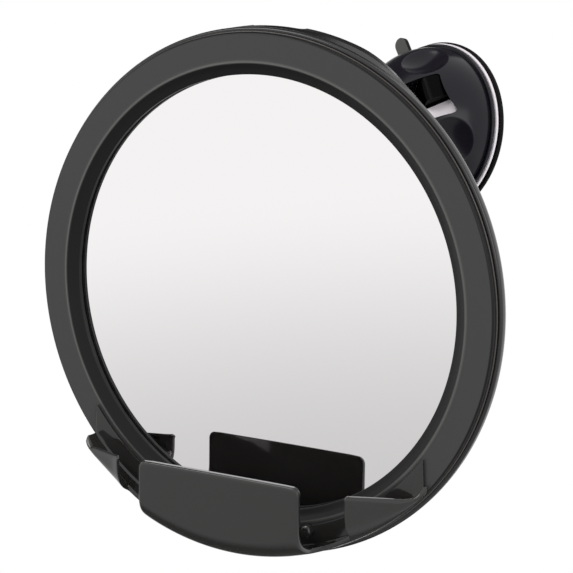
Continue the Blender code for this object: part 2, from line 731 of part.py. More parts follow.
def hump_share(angle):
    """How much of the hump stands at one angle: all of it at the top, none past its foot."""
    off_top = abs((angle - math.pi / 2 + math.pi) % (2 * math.pi) - math.pi)
    span = hump_foot_half_angle - hump_flat_half_angle
    share = min(max((hump_foot_half_angle - off_top) / span, 0), 1)
    return share * share * (3 - 2 * share)


def make_shell(paint, face_frame, well_floor):
    """The round back shell with the filling hump at its top and the socket's well behind."""
    rim_inner = skirt_radius + seat_gap
    back, inner_back = -shell_back_depth, -shell_back_depth + shell_wall
    well = socket_thread_radius + seat_gap
    well_front = well_floor + seat_gap
    shoulder = -shell_shoulder_depth
    turn_out = -(shell_shoulder_depth + shell_back_depth) / 2
    outline = [(rim_inner, -rim_front), (shell_radius - shell_wall, -rim_front)]
    outline += [(shell_radius, -rim_front - shell_wall / 2), (shell_radius, shoulder)]
    outline += [(shell_shoulder_radius + shell_wall, turn_out + shell_wall)]
    outline += [(shell_shoulder_radius - shell_wall, turn_out - shell_wall)]
    outline += [((shell_shoulder_radius + shell_back_radius) / 2, back + shell_wall / 2)]
    outline += [(shell_back_radius, back), (well, back), (well, well_front), (0, well_front)]
    outline += [(0, well_front + shell_wall), (well + shell_wall, well_front + shell_wall)]
    outline += [(well + shell_wall, inner_back), (shell_back_radius - shell_wall, inner_back)]
    outline += [((shell_shoulder_radius + shell_back_radius) / 2 - shell_wall, back + 3 * shell_wall / 2)]
    outline += [(shell_shoulder_radius - 2 * shell_wall, turn_out)]
    outline += [(rim_inner, -skirt_depth - seat_gap)]

    def swell(radius, height, angle):
        if radius < shell_back_radius - 2 * shell_wall or height > -skirt_depth:
            return radius
        fullness = min((shell_radius - radius) / hump_rise, 1)
        if radius > shell_back_radius:
            fullness = min(fullness, (-height - skirt_depth) / shell_wall)
        return radius + hump_rise * hump_share(angle) * max(fullness, 0)

    shell = piece("back_shell", turned(outline, head_sides, swell), paint["shell_black"], face_frame)
    mouth_back, mouth_front = -mouth_depth - mouth_depth_span / 2, -mouth_depth + mouth_depth_span / 2
    mouth = box((-mouth_half_width, mouth_back, shell_shoulder_radius - 3 * shell_wall),
                (mouth_half_width, mouth_front, shell_radius + cut_overrun))
    bosses, bores = [], []
    depth = socket_screw_length - socket_flange_thickness
    for across, up in around(socket_screw_count, socket_screw_radius, math.pi / 4):
        boss = rod(socket_screw_head, back + shell_wall / 2, back + depth + shell_wall)
        bosses.append(moved(boss, at(across, 0, up)))
        bore = rod(socket_screw_shank + seat_gap, back - cut_overrun, back + depth + seat_gap)
        bores.append(moved(bore, at(across, 0, up)))
    combine(shell, joined(bosses), "UNION", "bosses")
    combine(shell, joined([mouth, *bores]), "DIFFERENCE", "openings")


def make_pane_stack(paint, face_frame):
    """The front ring, the bead behind it, the seal, the mirror glass, its retainer and screws."""
    lip_back = -(lip_depth + lip_thickness)
    deck = -deck_depth
    skirt_inner = skirt_radius - skirt_wall
    bevel_middle = (lip_radius + ridge_radius) / 2
    bevel_sag = (ridge_rise - lip_depth) / 2 - ridge_rise / 2
    fillet = arc((ring_radius - ring_edge_fillet, -ring_edge_fillet), ring_edge_fillet, math.pi / 2, 0, 3)
    outline = [(lip_radius, lip_back), (lip_radius, -lip_depth), (bevel_middle, bevel_sag)]
    outline += [(ridge_radius, ridge_rise), (ridge_radius + 3 * ridge_rise, 0), *fillet]
    outline += [(ring_radius, -ring_side_depth), (skirt_radius, -ring_side_depth)]
    outline += [(skirt_radius, -skirt_depth), (skirt_inner, -skirt_depth), (skirt_inner, deck)]
    outline += [(glass_radius + seat_gap, deck), (glass_radius, lip_back)]
    ring = piece("front_ring", turned(outline, head_sides), paint["satin_ring"], face_frame)

    bead_front = -(ring_side_depth + seat_gap)
    bead_outer = ring_radius + bead_overhang
    bead_back = bead_front - bead_thickness
    bead = [(bead_outer - bead_width, bead_front), (bead_outer - bead_overhang / 2, bead_front)]
    bead += [(bead_outer, bead_front - bead_thickness / 2), (bead_outer - bead_overhang / 2, bead_back)]
    bead += [(bead_outer - bead_width, bead_back)]
    piece("seam_bead", turned(bead, head_sides), paint["bead_grey"], face_frame)

    seal_back = -(glass_depth - seat_gap)
    seal_front = seal_back + seal_thickness
    seal_outer = glass_radius - 2 * seal_thickness
    seal = [(lip_radius + seal_thickness / 2, seal_back), (seal_outer, seal_back)]
    seal += [(seal_outer, seal_front), (lip_radius + seal_thickness / 2, seal_front)]
    piece("lip_seal", turned(seal, head_sides), paint["rubber"], face_frame)

    pane = [(0, -glass_back), (glass_radius, -glass_back), (glass_radius, -glass_depth), (0, -glass_depth)]
    piece("mirror_pane", turned(pane, head_sides), paint["mirror"], face_frame)

    front, outer = -(glass_back + seat_gap), skirt_inner - seat_gap
    back = front - retainer_thickness
    band = [(retainer_inner_radius, back), (outer, back), (outer, front), (retainer_inner_radius, front)]
    retainer = piece("pane_retainer", turned(band, head_sides), paint["nylon"], face_frame)
    places = around(retainer_screw_count, retainer_screw_radius)
    bosses, bores = [], []
    for number, (across, up) in enumerate(places):
        boss = rod(retainer_boss_radius, front + seat_gap, deck + deck_depth / 4)
        bosses.append(moved(boss, at(across, 0, up)))
        bore = rod(fine_screw_radius + seat_gap, back - cut_overrun, front + fine_screw_depth + seat_gap)
        bores.append(moved(bore, at(across, 0, up)))
        length = seat_gap + retainer_thickness + fine_screw_depth
        shape = screw(fine_head_radius, fine_head_thickness, fine_screw_radius, length)
        place = at(across, back - seat_gap, up) @ Matrix.Rotation(math.pi, 4, "X")
        piece(f"pane_screw_{number + 1}", moved(shape, place), paint["steel"], face_frame)
    combine(ring, joined(bosses), "UNION", "bosses")
    combine(ring, joined(bores + tray_screw_bores()), "DIFFERENCE", "bores")
    combine(retainer, joined(bores), "DIFFERENCE", "holes")


def tray_bowl(radius, front, base):
    """A turned block whose floor curls up into the front wall."""
    outline = [(0, base)]
    rise = front - base
    for i in range(9):
        angle = math.pi / 2 * i / 8
        r = radius - rise / 2 * (1 - math.cos(angle) ** (2 / tray_fillet_power))
        outline.append((r, base + rise * math.sin(angle) ** (2 / tray_fillet_power)))
    return outline + [(0, front)]


def tray_plan(inset):
    """The tray seen from above, across and towards the room, drawn in by a wall."""
    front = tray_front_height - inset
    middle = (side_flap_start + centre_flap_half_width) / 2
    half = [(centre_flap_half_width, front), (middle, front - tray_wall / 2)]
    half += [(side_flap_start, side_flap_height - inset)]
    half += [(tray_half_width - 2 * tray_wall - inset, side_flap_tip_height - inset / 2)]
    half += [(tray_half_width - inset, seat_gap + tray_saddle_thickness)]
    saddle = [(saddle_half_width, seat_gap + tray_saddle_thickness), (saddle_half_width, -cut_overrun)]
    right = [(tray_shift + a, b) for a, b in half] + saddle
    return right + [(-a, b) for a, b in reversed(saddle)] + [(tray_shift - a, b) for a, b in reversed(half)]


def tray_front_gap():
    """What is cut from the front wall: the space over the flaps and the two razor notches."""
    below = -(ring_radius + cut_overrun)
    centre, flap = centre_flap_corner, side_flap_corner
    top_centre = (centre_flap_half_width - centre, -centre_flap_drop - centre)
    top_side = (side_flap_start + flap, -side_flap_drop - flap)
    half = arc(top_centre, centre, math.pi / 2, 0, 4)
    half += [(centre_flap_half_width, below), (side_flap_start, below)]
    half += arc(top_side, flap, math.pi, math.pi / 2, 4)
    half += [(side_flap_end, side_flap_rise - side_flap_drop), (side_flap_end, 0)]
    return [(tray_shift + a, b) for a, b in half] + [(tray_shift - a, b) for a, b in reversed(half)]


def side_flap_tops():
    """What is cut from the saddle up over each side flap, whose top edge climbs towards its end."""
    inner = (side_flap_start + centre_flap_half_width) / 2
    half = [(inner, cut_overrun), (inner, -side_flap_drop), (side_flap_start, -side_flap_drop)]
    half += [(side_flap_end, side_flap_rise - side_flap_drop), (side_flap_end, cut_overrun)]
    right = [(tray_shift + a, b) for a, b in half]
    return right, [(tray_shift - a, b) for a, b in reversed(half)]


def tray_screw_places():
    spots = [-tray_screw_spread, 0.0, tray_screw_spread]
    return [(across, -math.sqrt(retainer_screw_radius ** 2 - across ** 2)) for across in spots]


def tray_screw_bores():
    bore = rod(fine_screw_radius + seat_gap, -deck_depth - cut_overrun, tray_boss_height - tray_wall / 2)
    return [moved(bore, at(across, 0, up)) for across, up in tray_screw_places()]


def make_tray(paint, face_frame):
    """The razor tray: a saddle on the ring, a floor, three flaps and two notches."""
    base = seat_gap
    saddle_front = base + tray_saddle_thickness
    outer = turned(tray_bowl(ring_radius, tray_front_height, base), head_sides)
    tray = piece("razor_tray", outer, paint["gloss_tray"], face_frame)
    up_low = -(ring_radius + cut_overrun)
    combine(tray, prism(tray_plan(0), up_low, 0, plan), "INTERSECT", "plan")
    inner_bowl = tray_bowl(ring_radius - tray_wall, tray_front_height - tray_wall, saddle_front)
    hollow_tool = combine(tray, turned(inner_bowl, head_sides), "DIFFERENCE", "hollow")
    combine(hollow_tool, prism(tray_plan(tray_wall), up_low, cut_overrun, plan), "INTERSECT", "hollow_plan")
    combine(tray, joined(tray_screw_bores()), "DIFFERENCE", "bores")
    front = tray_front_height + cut_overrun
    side_tops = [prism(outline, saddle_front, front, facing) for outline in side_flap_tops()]
    combine(tray, joined(side_tops), "DIFFERENCE", "side_top")
    combine(tray, prism(tray_front_gap(), notch_floor_height, front, facing), "DIFFERENCE", "front_gap")
    inside = rod(ridge_radius + 3 * ridge_rise, -cut_overrun, saddle_front + seat_gap, head_sides)
    combine(tray, inside, "DIFFERENCE", "saddle_edge")
    boss = rod(tray_boss_radius, base - cut_overrun, tray_boss_height)
    bosses = []
    for number, (across, up) in enumerate(tray_screw_places()):
        bosses.append(moved(boss, at(across, 0, up)))
        length = deck_depth + tray_boss_height - tray_wall / 2
        shape = screw(fine_head_radius, fine_head_thickness, fine_screw_radius, length)
        turned_back = at(across, -deck_depth - seat_gap, up) @ Matrix.Rotation(math.pi, 4, "X")
        piece(f"tray_screw_{number + 1}", moved(shape, turned_back), paint["steel"], face_frame)
    combine(hollow_tool, joined(bosses), "DIFFERENCE", "bosses")


def main():
    for thing in list(bpy.data.objects):
        bpy.data.objects.remove(thing, do_unlink=True)
    paint = make_materials()
    slot_frame = empty("slot_frame", (0, 0, 0), (0, -slot_direction, 0))
    stem_frame = empty("pin_axis", (0, -pin_height, 0), parent=slot_frame)
    make_cup(paint, slot_frame)
    make_stem(paint, stem_frame)
    make_lever(paint, stem_frame)
    make_fork(paint)
    make_arm(paint)
    head_frame = empty("ball_centre", (0, -ball_reach, -ball_drop), (head_lean, 0, head_turn))
    face_frame = empty("ring_centre", (0, -ball_depth, 0), parent=head_frame)
    make_ball_grip(paint, head_frame)
    well_floor = make_socket(paint, face_frame)
    make_shell(paint, face_frame, well_floor)
    make_pane_stack(paint, face_frame)
    make_tray(paint, face_frame)


main()
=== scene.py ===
"""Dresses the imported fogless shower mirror: fine moulded pieces, finishes, studio and camera."""

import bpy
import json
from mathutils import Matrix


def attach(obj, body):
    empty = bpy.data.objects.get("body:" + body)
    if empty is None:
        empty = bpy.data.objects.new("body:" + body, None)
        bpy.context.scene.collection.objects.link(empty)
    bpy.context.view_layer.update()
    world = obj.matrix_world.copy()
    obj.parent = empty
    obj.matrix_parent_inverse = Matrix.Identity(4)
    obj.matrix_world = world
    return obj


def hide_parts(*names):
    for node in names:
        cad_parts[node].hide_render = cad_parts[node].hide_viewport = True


bl_info = {
    "name": "Fogless shower mirror",
    "version": (1, 0, 0),
    "blender": (4, 5, 0),
    "location": "3D View > Sidebar > Shower mirror",
    "description": "Round shower mirror with a razor tray, a ball-jointed arm and a lever-locked cup",
    "category": "Add Mesh",
}

import json
import math

import bmesh
import bpy
from bpy.props import FloatProperty, IntProperty, PointerProperty, StringProperty
from bpy.types import Operator, Panel, PropertyGroup
from mathutils import Matrix, Vector
from mathutils.geometry import delaunay_2d_cdt

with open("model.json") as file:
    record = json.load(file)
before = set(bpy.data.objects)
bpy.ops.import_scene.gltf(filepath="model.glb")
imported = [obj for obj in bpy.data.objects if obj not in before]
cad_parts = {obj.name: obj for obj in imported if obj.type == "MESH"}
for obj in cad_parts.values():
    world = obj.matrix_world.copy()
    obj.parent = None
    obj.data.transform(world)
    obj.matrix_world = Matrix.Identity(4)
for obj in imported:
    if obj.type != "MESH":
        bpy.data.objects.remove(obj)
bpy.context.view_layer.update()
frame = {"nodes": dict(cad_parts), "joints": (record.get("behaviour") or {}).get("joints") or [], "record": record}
joints = {joint["name"]: joint for joint in frame["joints"]}

mm = 0.001
seat_gap = 0.3 * mm
run_gap = 0.3 * mm
overrun = 4.0 * mm
bore_sides = 48
small_bore_sides = 32
smooth_angle = math.radians(40)
flat_weight = 80
noise_low, noise_high = 0.3, 0.7
paint = {}

# Where the pieces stand, read from the joints: the head's own axes, its ball and the cup's slot
ball_centre = Vector(joints["head_tilt"]["pos_m"])
head_across = Vector(joints["head_tilt"]["axis"]).normalized()
head_out = Vector(joints["head_roll"]["axis"]).normalized()
head_up = head_across.cross(-head_out).normalized()
lever_axis = Vector(joints["lever_flip"]["axis"]).normalized()
pin_place = Vector(joints["lever_flip"]["pos_m"])
pivot_place = Vector(joints["arm_pitch"]["pos_m"])


def frame_of(across, out, up, origin):
    """The matrix that stands a piece with its heights along out and its top along up."""
    matrix = Matrix((across, -out, up)).transposed().to_4x4()
    matrix.translation = origin
    return matrix


slot_across = lever_axis.cross(Vector((0, -1, 0))).normalized()
cup_frame = frame_of(-slot_across, Vector((0, -1, 0)), -lever_axis, Vector())
pin_frame = frame_of(-slot_across, Vector((0, -1, 0)), -lever_axis, pin_place)
wall_frame = Matrix.Identity(4)
ball_frame = frame_of(head_across, head_out, head_up, ball_centre)
head_lean = math.asin(-head_out.z)
stud_frame = Matrix.Translation(ball_centre) @ Matrix.Rotation(math.pi + head_lean, 4, "X")


def length(name, default, text):
    """A size in metres that a user may change, given here in millimetres."""
    return FloatProperty(name=name, description=text, default=default * mm, unit="LENGTH", precision=5)


def colour(name, default, text):
    """A colour as the sRGB hex value that a colour picker shows."""
    return StringProperty(name=name, description=text, default=default)


class HeadSizes(PropertyGroup):
    """The mirror's head: ring, glass and back shell. Heights start at the ring's front plane."""
    ring_radius: length("Ring radius", 101.5, "Outer radius of the front ring")
    ring_fillet: length("Ring fillet", 1.1, "Rounding of the ring's outer front edge")
    ring_side: length("Ring side", 2.0, "Depth of the ring's side down to the seam bead")
    face_width: length("Face width", 11.5, "Flat band of the ring, from its edge in to the ridge")
    ridge_rise: length("Ridge rise", 0.4, "How far the ridge stands above the flat band")
    bevel_width: length("Bevel width", 4.7, "Hollow bevel from the ridge in to the lip")
    lip_depth: length("Lip depth", 2.0, "How deep the lip lies behind the front plane")
    lip_thickness: length("Lip thickness", 1.7, "Thickness of the lip over the glass")
    glass_depth: length("Glass depth", 4.75, "Depth of the glass's front face")
    glass_thickness: length("Glass thickness", 3.0, "Thickness of the mirror glass")
    glass_radius: length("Glass radius", 90.5, "Radius of the mirror glass")
    shell_radius: length("Shell radius", 103.3, "Radius of the back shell at its rim")
    shell_depth: length("Shell depth", 21.0, "Depth of the shell's back face")
    shell_wall: length("Shell wall", 2.0, "Wall of the back shell")
    ball_depth: length("Ball depth", 26.0, "Depth of the ball's centre behind the front plane")
    sides: IntProperty(name="Sides", description="Steps round the head", default=256, min=48)


class TraySizes(PropertyGroup):
    """The razor tray. Heights stand in front of the ring's front plane."""
    front: length("Front height", 22.0, "How far the centre flap stands in front of the ring")
    wall: length("Wall", 2.0, "Wall of the tray")
    saddle: length("Saddle", 1.0, "Thickness of the saddle that lies on the ring")
    saddle_half_width: length("Saddle half width", 75.3, "Half the saddle's width across the ring")
    shift: length("Shift", -3.7, "How far the flaps stand to one side of the ring's centre line")
    centre_half_width: length("Centre half width", 36.5, "Half the width of the centre flap")
    centre_span: length("Centre span", 34.5, "From the ring's foot up to the centre flap's top edge")
    centre_corner: length("Centre corner", 5.5, "Corner radius of the centre flap")
    side_start: length("Side start", 51.2, "Where a side flap starts, from the middle between the two")
    side_shift: length("Side shift", -2.7, "How far the side flaps stand to one side of the ring's middle")
    side_span: length("Side span", 32.0, "From the ring's foot up to a side flap's top edge")
    side_corner: length("Side corner", 3.0, "Corner radius of a side flap")
    notch_height: length("Notch height", 9.0, "Where the floor ends in a razor notch")
    notch_corner: length("Notch corner", 6.5, "Radius at the foot of a razor notch")


class CupSizes(PropertyGroup):
    """The suction cup. Heights start at the wall."""
    pad_radius: length("Pad radius", 36.8, "Outer radius of the rubber pad")
    pad_thickness: length("Pad thickness", 2.4, "Thickness of the pad's rim")
    plate_radius: length("Plate radius", 36.0, "Outer radius of the white plate")
    flange_radius: length("Flange radius", 35.5, "Outer radius of the cover's flange")
    dome_radius: length("Dome radius", 34.0, "Radius of the dome at its foot")
    dome_height: length("Dome height", 36.0, "Height of the dome's flat seat")
    dome_wall: length("Dome wall", 2.2, "Wall of the dome")
    scoop_radius: length("Scoop radius", 17.0, "Radius of the two finger scoops")
    scoop_depth: length("Scoop depth", 4.2, "Depth of the two finger scoops")
    sides: IntProperty(name="Sides", description="Steps round the cup", default=288, min=48)


class Colours(PropertyGroup):
    """The finishes' own colours, and the painted shade and painted highlights on the ring and the pull tab."""
    ring: colour("Ring", "3d3d3d", "Satin ABS of the front ring")
    # Bevel: painted shade in the ring's hollow bevel.
    bevel: colour("Bevel", "0c0c0c", "Polished bevel inside the ring's ridge")
    # Ridge: a painted highlight along the crest of the ring's ridge.
    ridge: colour("Ridge", "5a5a58", "Lit crest of the ring's ridge")
    # Edge: painted shade at the ring's outer edge and at the lip.
    edge: colour("Edge", "0e0e0e", "Polished outer edge of the ring")
    tray: colour("Tray", "282726", "Gloss ABS of the razor tray")
    shell: colour("Shell", "191718", "ABS of the back shell, socket and nut")
    bead: colour("Bead", "3c3836", "Seam bead between ring and shell")
    glass: colour("Silvering", "f4f2f2", "Silvered mirror glass")
    rubber: colour("Rubber", "030303", "Rubber of the suction pad")
    # Tab: painted light on the face of the pull tab that faces the room.
    tab: colour("Tab", "565654", "Pull tab, greyed by lamplight")
    plate: colour("Plate", "fbf4fa", "Natural polypropylene of the pressure plate")
    dome: colour("Dome", "1b1920", "Blue black ABS of the cup cover, fork and arm")
    lever: colour("Lever", "020202", "Black acetal of the lock lever")
    steel: colour("Steel", "c8c8ca", "Stainless steel of the screws, pins and stud")
    nylon: colour("Nylon", "6e6e70", "Grey nylon of the retainer, stem and friction ring")
    floor: colour("Floor", "f4f4f4", "Pale studio floor")


def fillet(corners, steps=6):
    """A closed outline from (a, b, radius) corners, each rounded to its own radius."""
    outline = []
    for i, (a, b, radius) in enumerate(corners):
        here = Vector((a, b))
        if not radius:
            outline.append((a, b))
            continue
        back = Vector(corners[i - 1][:2]) - here
        ahead = Vector(corners[(i + 1) % len(corners)][:2]) - here
        half = back.angle(ahead) / 2
        reach = min(radius / math.tan(half), back.length / 2, ahead.length / 2)
        centre = here + (back.normalized() + ahead.normalized()).normalized() * (reach / math.cos(half))
        start = here + back.normalized() * reach - centre
        end = here + ahead.normalized() * reach - centre
        for k in range(steps + 1):
            turn = start.slerp(end, k / steps, start) if start.angle(end, 0) > 0 else start
            outline.append(tuple(centre + turn.normalized() * start.length))
    return outline


def arc(centre, radius, start, end, steps):
    angles = [start + (end - start) * i / steps for i in range(steps + 1)]
    return [(centre[0] + radius * math.cos(a), centre[1] + radius * math.sin(a)) for a in angles]


def turned(outline, sides, swell=None):
    """Turn a closed (radius, height) outline about the axis that points out to the room."""
    verts, rings = [], []
    for radius, height in outline:
        count = 1 if radius < seat_gap / 100 else sides
        rings.append(range(len(verts), len(verts) + count))
        for i in range(count):
            angle = 2 * math.pi * (i + 0.5) / sides
            r = swell(radius, height, angle) if swell and count > 1 else radius
            verts.append((r * math.cos(angle), -height, r * math.sin(angle)))
    faces = []
    for low, high in zip(rings, rings[1:] + rings[:1]):
        if len(low) == 1 and len(high) == 1:
            continue
        for i in range(sides):
            corners = [low[i % len(low)], low[(i + 1) % len(low)]]
            corners += [high[(i + 1) % len(high)], high[i % len(high)]]
            faces.append(tuple(dict.fromkeys(corners)))
    return verts, faces


def rod(radius, low, high, sides):
    """A plain round bar, which cuts the bores."""
    return turned([(0, low), (radius, low), (radius, high), (0, high)], sides)


def facing(a, b, c):
    """An outline drawn across and up, extruded towards the room."""
    return (a, -c, b)


def plan(a, b, c):
    """An outline drawn across and towards the room, extruded upwards."""
    return (a, -b, c)


def side(a, b, c):
    """An outline drawn towards the room and up, extruded across."""
    return (c, -a, b)


def prism(outline, low, high, place):
    count = len(outline)
    verts = [place(a, b, c) for c in (low, high) for a, b in outline]
    faces = [(i, (i + 1) % count, count + (i + 1) % count, count + i) for i in range(count)]
    return verts, faces + [tuple(range(count)), tuple(range(2 * count - 1, count - 1, -1))]


def moved(shape, matrix):
    return [tuple(matrix @ Vector(v)) for v in shape[0]], shape[1]


def four_spots(radius):
    """Four places on a circle, midway between across and up."""
    turns = [math.pi / 4 + math.pi / 2 * i for i in range(4)]
    return [(radius * math.cos(turn), radius * math.sin(turn)) for turn in turns]


def at(across, height, up):
    return Matrix.Translation((across, -height, up))


def aimed(direction):
    """The turn that points a turned shape's heights along a direction."""
    return Vector((0, -1, 0)).rotation_difference(Vector(direction)).to_matrix().to_4x4()


def joined(shapes):
    verts, faces = [], []
    for more_verts, more_faces in shapes:
        start = len(verts)
        verts += more_verts
        faces += [tuple(start + i for i in face) for face in more_faces]
    return verts, faces


def new_object(name, shape, place):
    mesh = bpy.data.meshes.new(name)
    mesh.from_pydata([Vector(v) for v in shape[0]], [], shape[1])
    editable = bmesh.new()
    editable.from_mesh(mesh)
    bmesh.ops.recalc_face_normals(editable, faces=editable.faces)
    editable.to_mesh(mesh)
    editable.free()
    thing = bpy.data.objects.new(name, mesh)
    bpy.context.collection.objects.link(thing)
    thing.matrix_world = place
    return thing


def settle(thing):
    """Turn the modifiers on a piece into its mesh."""
    bpy.context.view_layer.update()
    evaluated = thing.evaluated_get(bpy.context.evaluated_depsgraph_get())
    mesh = bpy.data.meshes.new_from_object(evaluated)
    thing.modifiers.clear()
    thing.data = mesh


def combine(thing, shape, operation):
    """Cut a shape from a piece, or join it on. The shape is drawn in the piece's own frame."""
    tool = new_object(thing.name + "_tool", shape, thing.matrix_world)
    change = thing.modifiers.new("change", "BOOLEAN")
    change.operation = operation
    change.object = tool
    settle(thing)
    bpy.data.objects.remove(tool, do_unlink=True)


def bore(thing, place, radius, low, high, sides=bore_sides):
    """Drill a round hole along an axis that has its own place in the piece's frame."""
    combine(thing, moved(rod(radius, low, high, sides), place), "DIFFERENCE")


def soften(thing, width, steps=3, angle=35):
    """Round the moulded edges that are sharper than an angle."""
    bevel = thing.modifiers.new("soften", "BEVEL")
    bevel.width = width
    bevel.segments = steps
    bevel.angle_limit = math.radians(angle)
    settle(thing)


def finish(thing, slot, body, *nodes):
    """Give a piece its finish, set it on its body and hide the solids that it stands for."""
    thing.data.transform(thing.matrix_world)
    thing.matrix_world = Matrix.Identity(4)
    thing.data.materials.clear()
    thing.data.materials.append(paint[slot])
    thing.data.shade_smooth()
    thing.data.set_sharp_from_angle(angle=smooth_angle)
    flats = thing.modifiers.new("flats", "WEIGHTED_NORMAL")
    flats.keep_sharp = True
    flats.weight = flat_weight
    settle(thing)
    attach(thing, body)
    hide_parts(*nodes)


def linear(hex_colour):
    """The linear colour of an sRGB hex value."""
    shares = [int(hex_colour[i:i + 2], 16) / 255 for i in (0, 2, 4)]
    return [s / 12.92 if s <= 0.04045 else ((s + 0.055) / 1.055) ** 2.4 for s in shares]


def plug(material, source, socket):
    """Link a node's result, or one of its outputs, into a socket."""
    if isinstance(source, bpy.types.Node):
        source = next(output for output in source.outputs if output.enabled)
    material.node_tree.links.new(source, socket)


def add_node(material, kind, inputs=(), **settings):
    """Add a node with its settings, and set or link its inputs."""
    node = material.node_tree.nodes.new(kind)
    for key, value in settings.items():
        setattr(node, key, value)
    for name, value in dict(inputs).items():
        if isinstance(value, (bpy.types.Node, bpy.types.NodeSocket)):
            plug(material, value, node.inputs[name])
        else:
            node.inputs[name].default_value = value
    return node


def new_material(name, hex_colour, **constants):
    """A material with its shader's constants set, and the shader itself."""
    material = bpy.data.materials.new(name)
    material.use_nodes = True
    shader = material.node_tree.nodes["Principled BSDF"]
    shader.inputs["Base Color"].default_value = (*linear(hex_colour), 1)
    for key, value in constants.items():
        shader.inputs[key.replace("_", " ").title().replace("Ior", "IOR")].default_value = value
    return material, shader


def tune(material, shader, smudge_size, roughness, spread, grain, depth):
    """Smudges of one size in the roughness, and a fine grain of another size as bump."""
    place = add_node(material, "ShaderNodeTexCoord").outputs["Object"]
    smudge = add_node(material, "ShaderNodeTexNoise", {
        "Vector": place, "Scale": 1 / smudge_size, "Detail": 5})
    spreads = add_node(material, "ShaderNodeMapRange", {
        "Value": smudge, "From Min": noise_low, "From Max": noise_high,
        "To Min": roughness - spread, "To Max": roughness + spread})
    pores = add_node(material, "ShaderNodeTexNoise", {"Vector": place, "Scale": 1 / grain, "Detail": 3})
    bump = add_node(material, "ShaderNodeBump", {"Height": pores, "Strength": 1.0, "Distance": depth})
    plug(material, spreads, shader.inputs["Roughness"])
    plug(material, bump, shader.inputs["Normal"])


def off_axis(material, centre, axis):
    """How far each point lies from an axis, in metres."""
    place = add_node(material, "ShaderNodeTexCoord").outputs["Object"]
    apart = add_node(material, "ShaderNodeVectorMath", {0: place, 1: centre}, operation="SUBTRACT")
    across = add_node(material, "ShaderNodeVectorMath", {0: apart, 1: axis}, operation="CROSS_PRODUCT")
    return add_node(material, "ShaderNodeVectorMath", {0: across}, operation="LENGTH")


def banded(material, distance, stops):
    """A colour in bands that blend at each (distance, hex colour)."""
    low, high = stops[0][0], stops[-1][0]
    share = add_node(material, "ShaderNodeMapRange", {
        "Value": distance, "From Min": low, "From Max": high})
    ramp = add_node(material, "ShaderNodeValToRGB", {"Fac": share})
    elements = ramp.color_ramp.elements
    while len(elements) < len(stops):
        elements.new(1.0)
    for element, (place, hex_colour) in zip(elements, stops):
        element.position = (place - low) / (high - low)
        element.color = (*linear(hex_colour), 1)
    return ramp


def falloff(material, centre, reach, near, far, low):
    """A share that grows from low to one between two distances from a centre, told in reaches."""
    place = add_node(material, "ShaderNodeTexCoord").outputs["Object"]
    apart = add_node(material, "ShaderNodeVectorMath", {0: place, 1: centre}, operation="SUBTRACT")
    scaled = add_node(material, "ShaderNodeVectorMath", {0: apart, 1: reach}, operation="DIVIDE")
    off = add_node(material, "ShaderNodeVectorMath", {0: scaled}, operation="LENGTH")
    return add_node(material, "ShaderNodeMapRange", {
        "Value": off, "From Min": near, "From Max": far,
        "To Min": low, "To Max": 1.0}, interpolation_type="SMOOTHSTEP")


def satin_abs(hues, head):
    # Moulded against a spark-eroded tool: an even satin grain that greys the black. The lip, the hollow
    # bevel and the outer edge are painted darker as painted shade, and the ridge's crest is painted lighter as a
    # painted highlight.
    # The real grain is about 0.1 mm; it is drawn at 0.7 mm so that it shows.
    material, shader = new_material("Spark-eroded satin ABS", hues.ring, ior=1.53, specular_ior_level=0.2)
    tune(material, shader, 30 * mm, 0.36, spread=0.05, grain=0.7 * mm, depth=0.012 * mm)
    ridge = head.ring_radius - head.face_width
    rise, edge = head.ridge_rise, head.ring_radius - head.ring_fillet / 2
    distance = off_axis(material, ball_centre, head_out)
    # Bands by distance from the axis: painted shade on the lip, the hollow bevel and the outer edge, and a painted
    # highlight along the ridge's crest.
    bands = banded(material, distance, [
        (ridge - head.bevel_width, hues.edge), (ridge - head.bevel_width + rise, hues.bevel),
        (ridge - 1.2 * rise, hues.bevel), (ridge + 0.4 * rise, hues.ridge), (ridge + 2.5 * rise, hues.ring),
        (edge - rise, hues.ring), (edge, hues.edge)])
    plug(material, bands, shader.inputs["Base Color"])
    return material


def gloss_abs(hex_colour, name="Polished gloss ABS", roughness=0.09, shine=0.5):
    # Moulded against a polished tool: a deep black, glossy to satin, with a faint orange peel.
    material, shader = new_material(name, hex_colour, ior=1.53, specular_ior_level=shine)
    tune(material, shader, 22 * mm, roughness, spread=0.03, grain=6 * mm, depth=0.01 * mm)
    return material


def natural_polypropylene(hex_colour):
    # Unpigmented polypropylene, moulded matt: milky white with a soft sheen.
    material, shader = new_material("Natural polypropylene", hex_colour, ior=1.49)
    tune(material, shader, 12 * mm, 0.38, spread=0.05, grain=1.5 * mm, depth=0.01 * mm)
    return material


def moulded_rubber(hues, cup):
    # Compression-moulded rubber: nearly no shine, and painted light that greys the tab's face towards the room.
    material, shader = new_material("Moulded black rubber", hues.rubber, ior=1.52, specular_ior_level=0.1)
    tune(material, shader, 9 * mm, 0.55, spread=0.08, grain=0.9 * mm, depth=0.02 * mm)
    distance = off_axis(material, (0, 0, 0), (0, 1, 0))
    normal = add_node(material, "ShaderNodeNewGeometry").outputs["Normal"]
    facing_room = add_node(material, "ShaderNodeVectorMath", {
        0: normal, 1: (0, -1, 0)}, operation="DOT_PRODUCT")
    flat = add_node(material, "ShaderNodeMath", {0: facing_room, 1: 0.9}, operation="GREATER_THAN")
    # Painted light: faces towards the room, out past the pad's rim (the tab's face), are painted grey.
    painted_light_distance = add_node(material, "ShaderNodeMath", {0: distance, 1: flat}, operation="MULTIPLY")
    bands = banded(material, painted_light_distance, [
        (cup.plate_radius, hues.rubber), (cup.pad_radius + 0.5 * mm, hues.rubber),
        (cup.pad_radius + 1.5 * mm, hues.tab), (cup.pad_radius + 10 * mm, hues.tab)])
    plug(material, bands, shader.inputs["Base Color"])
    return material


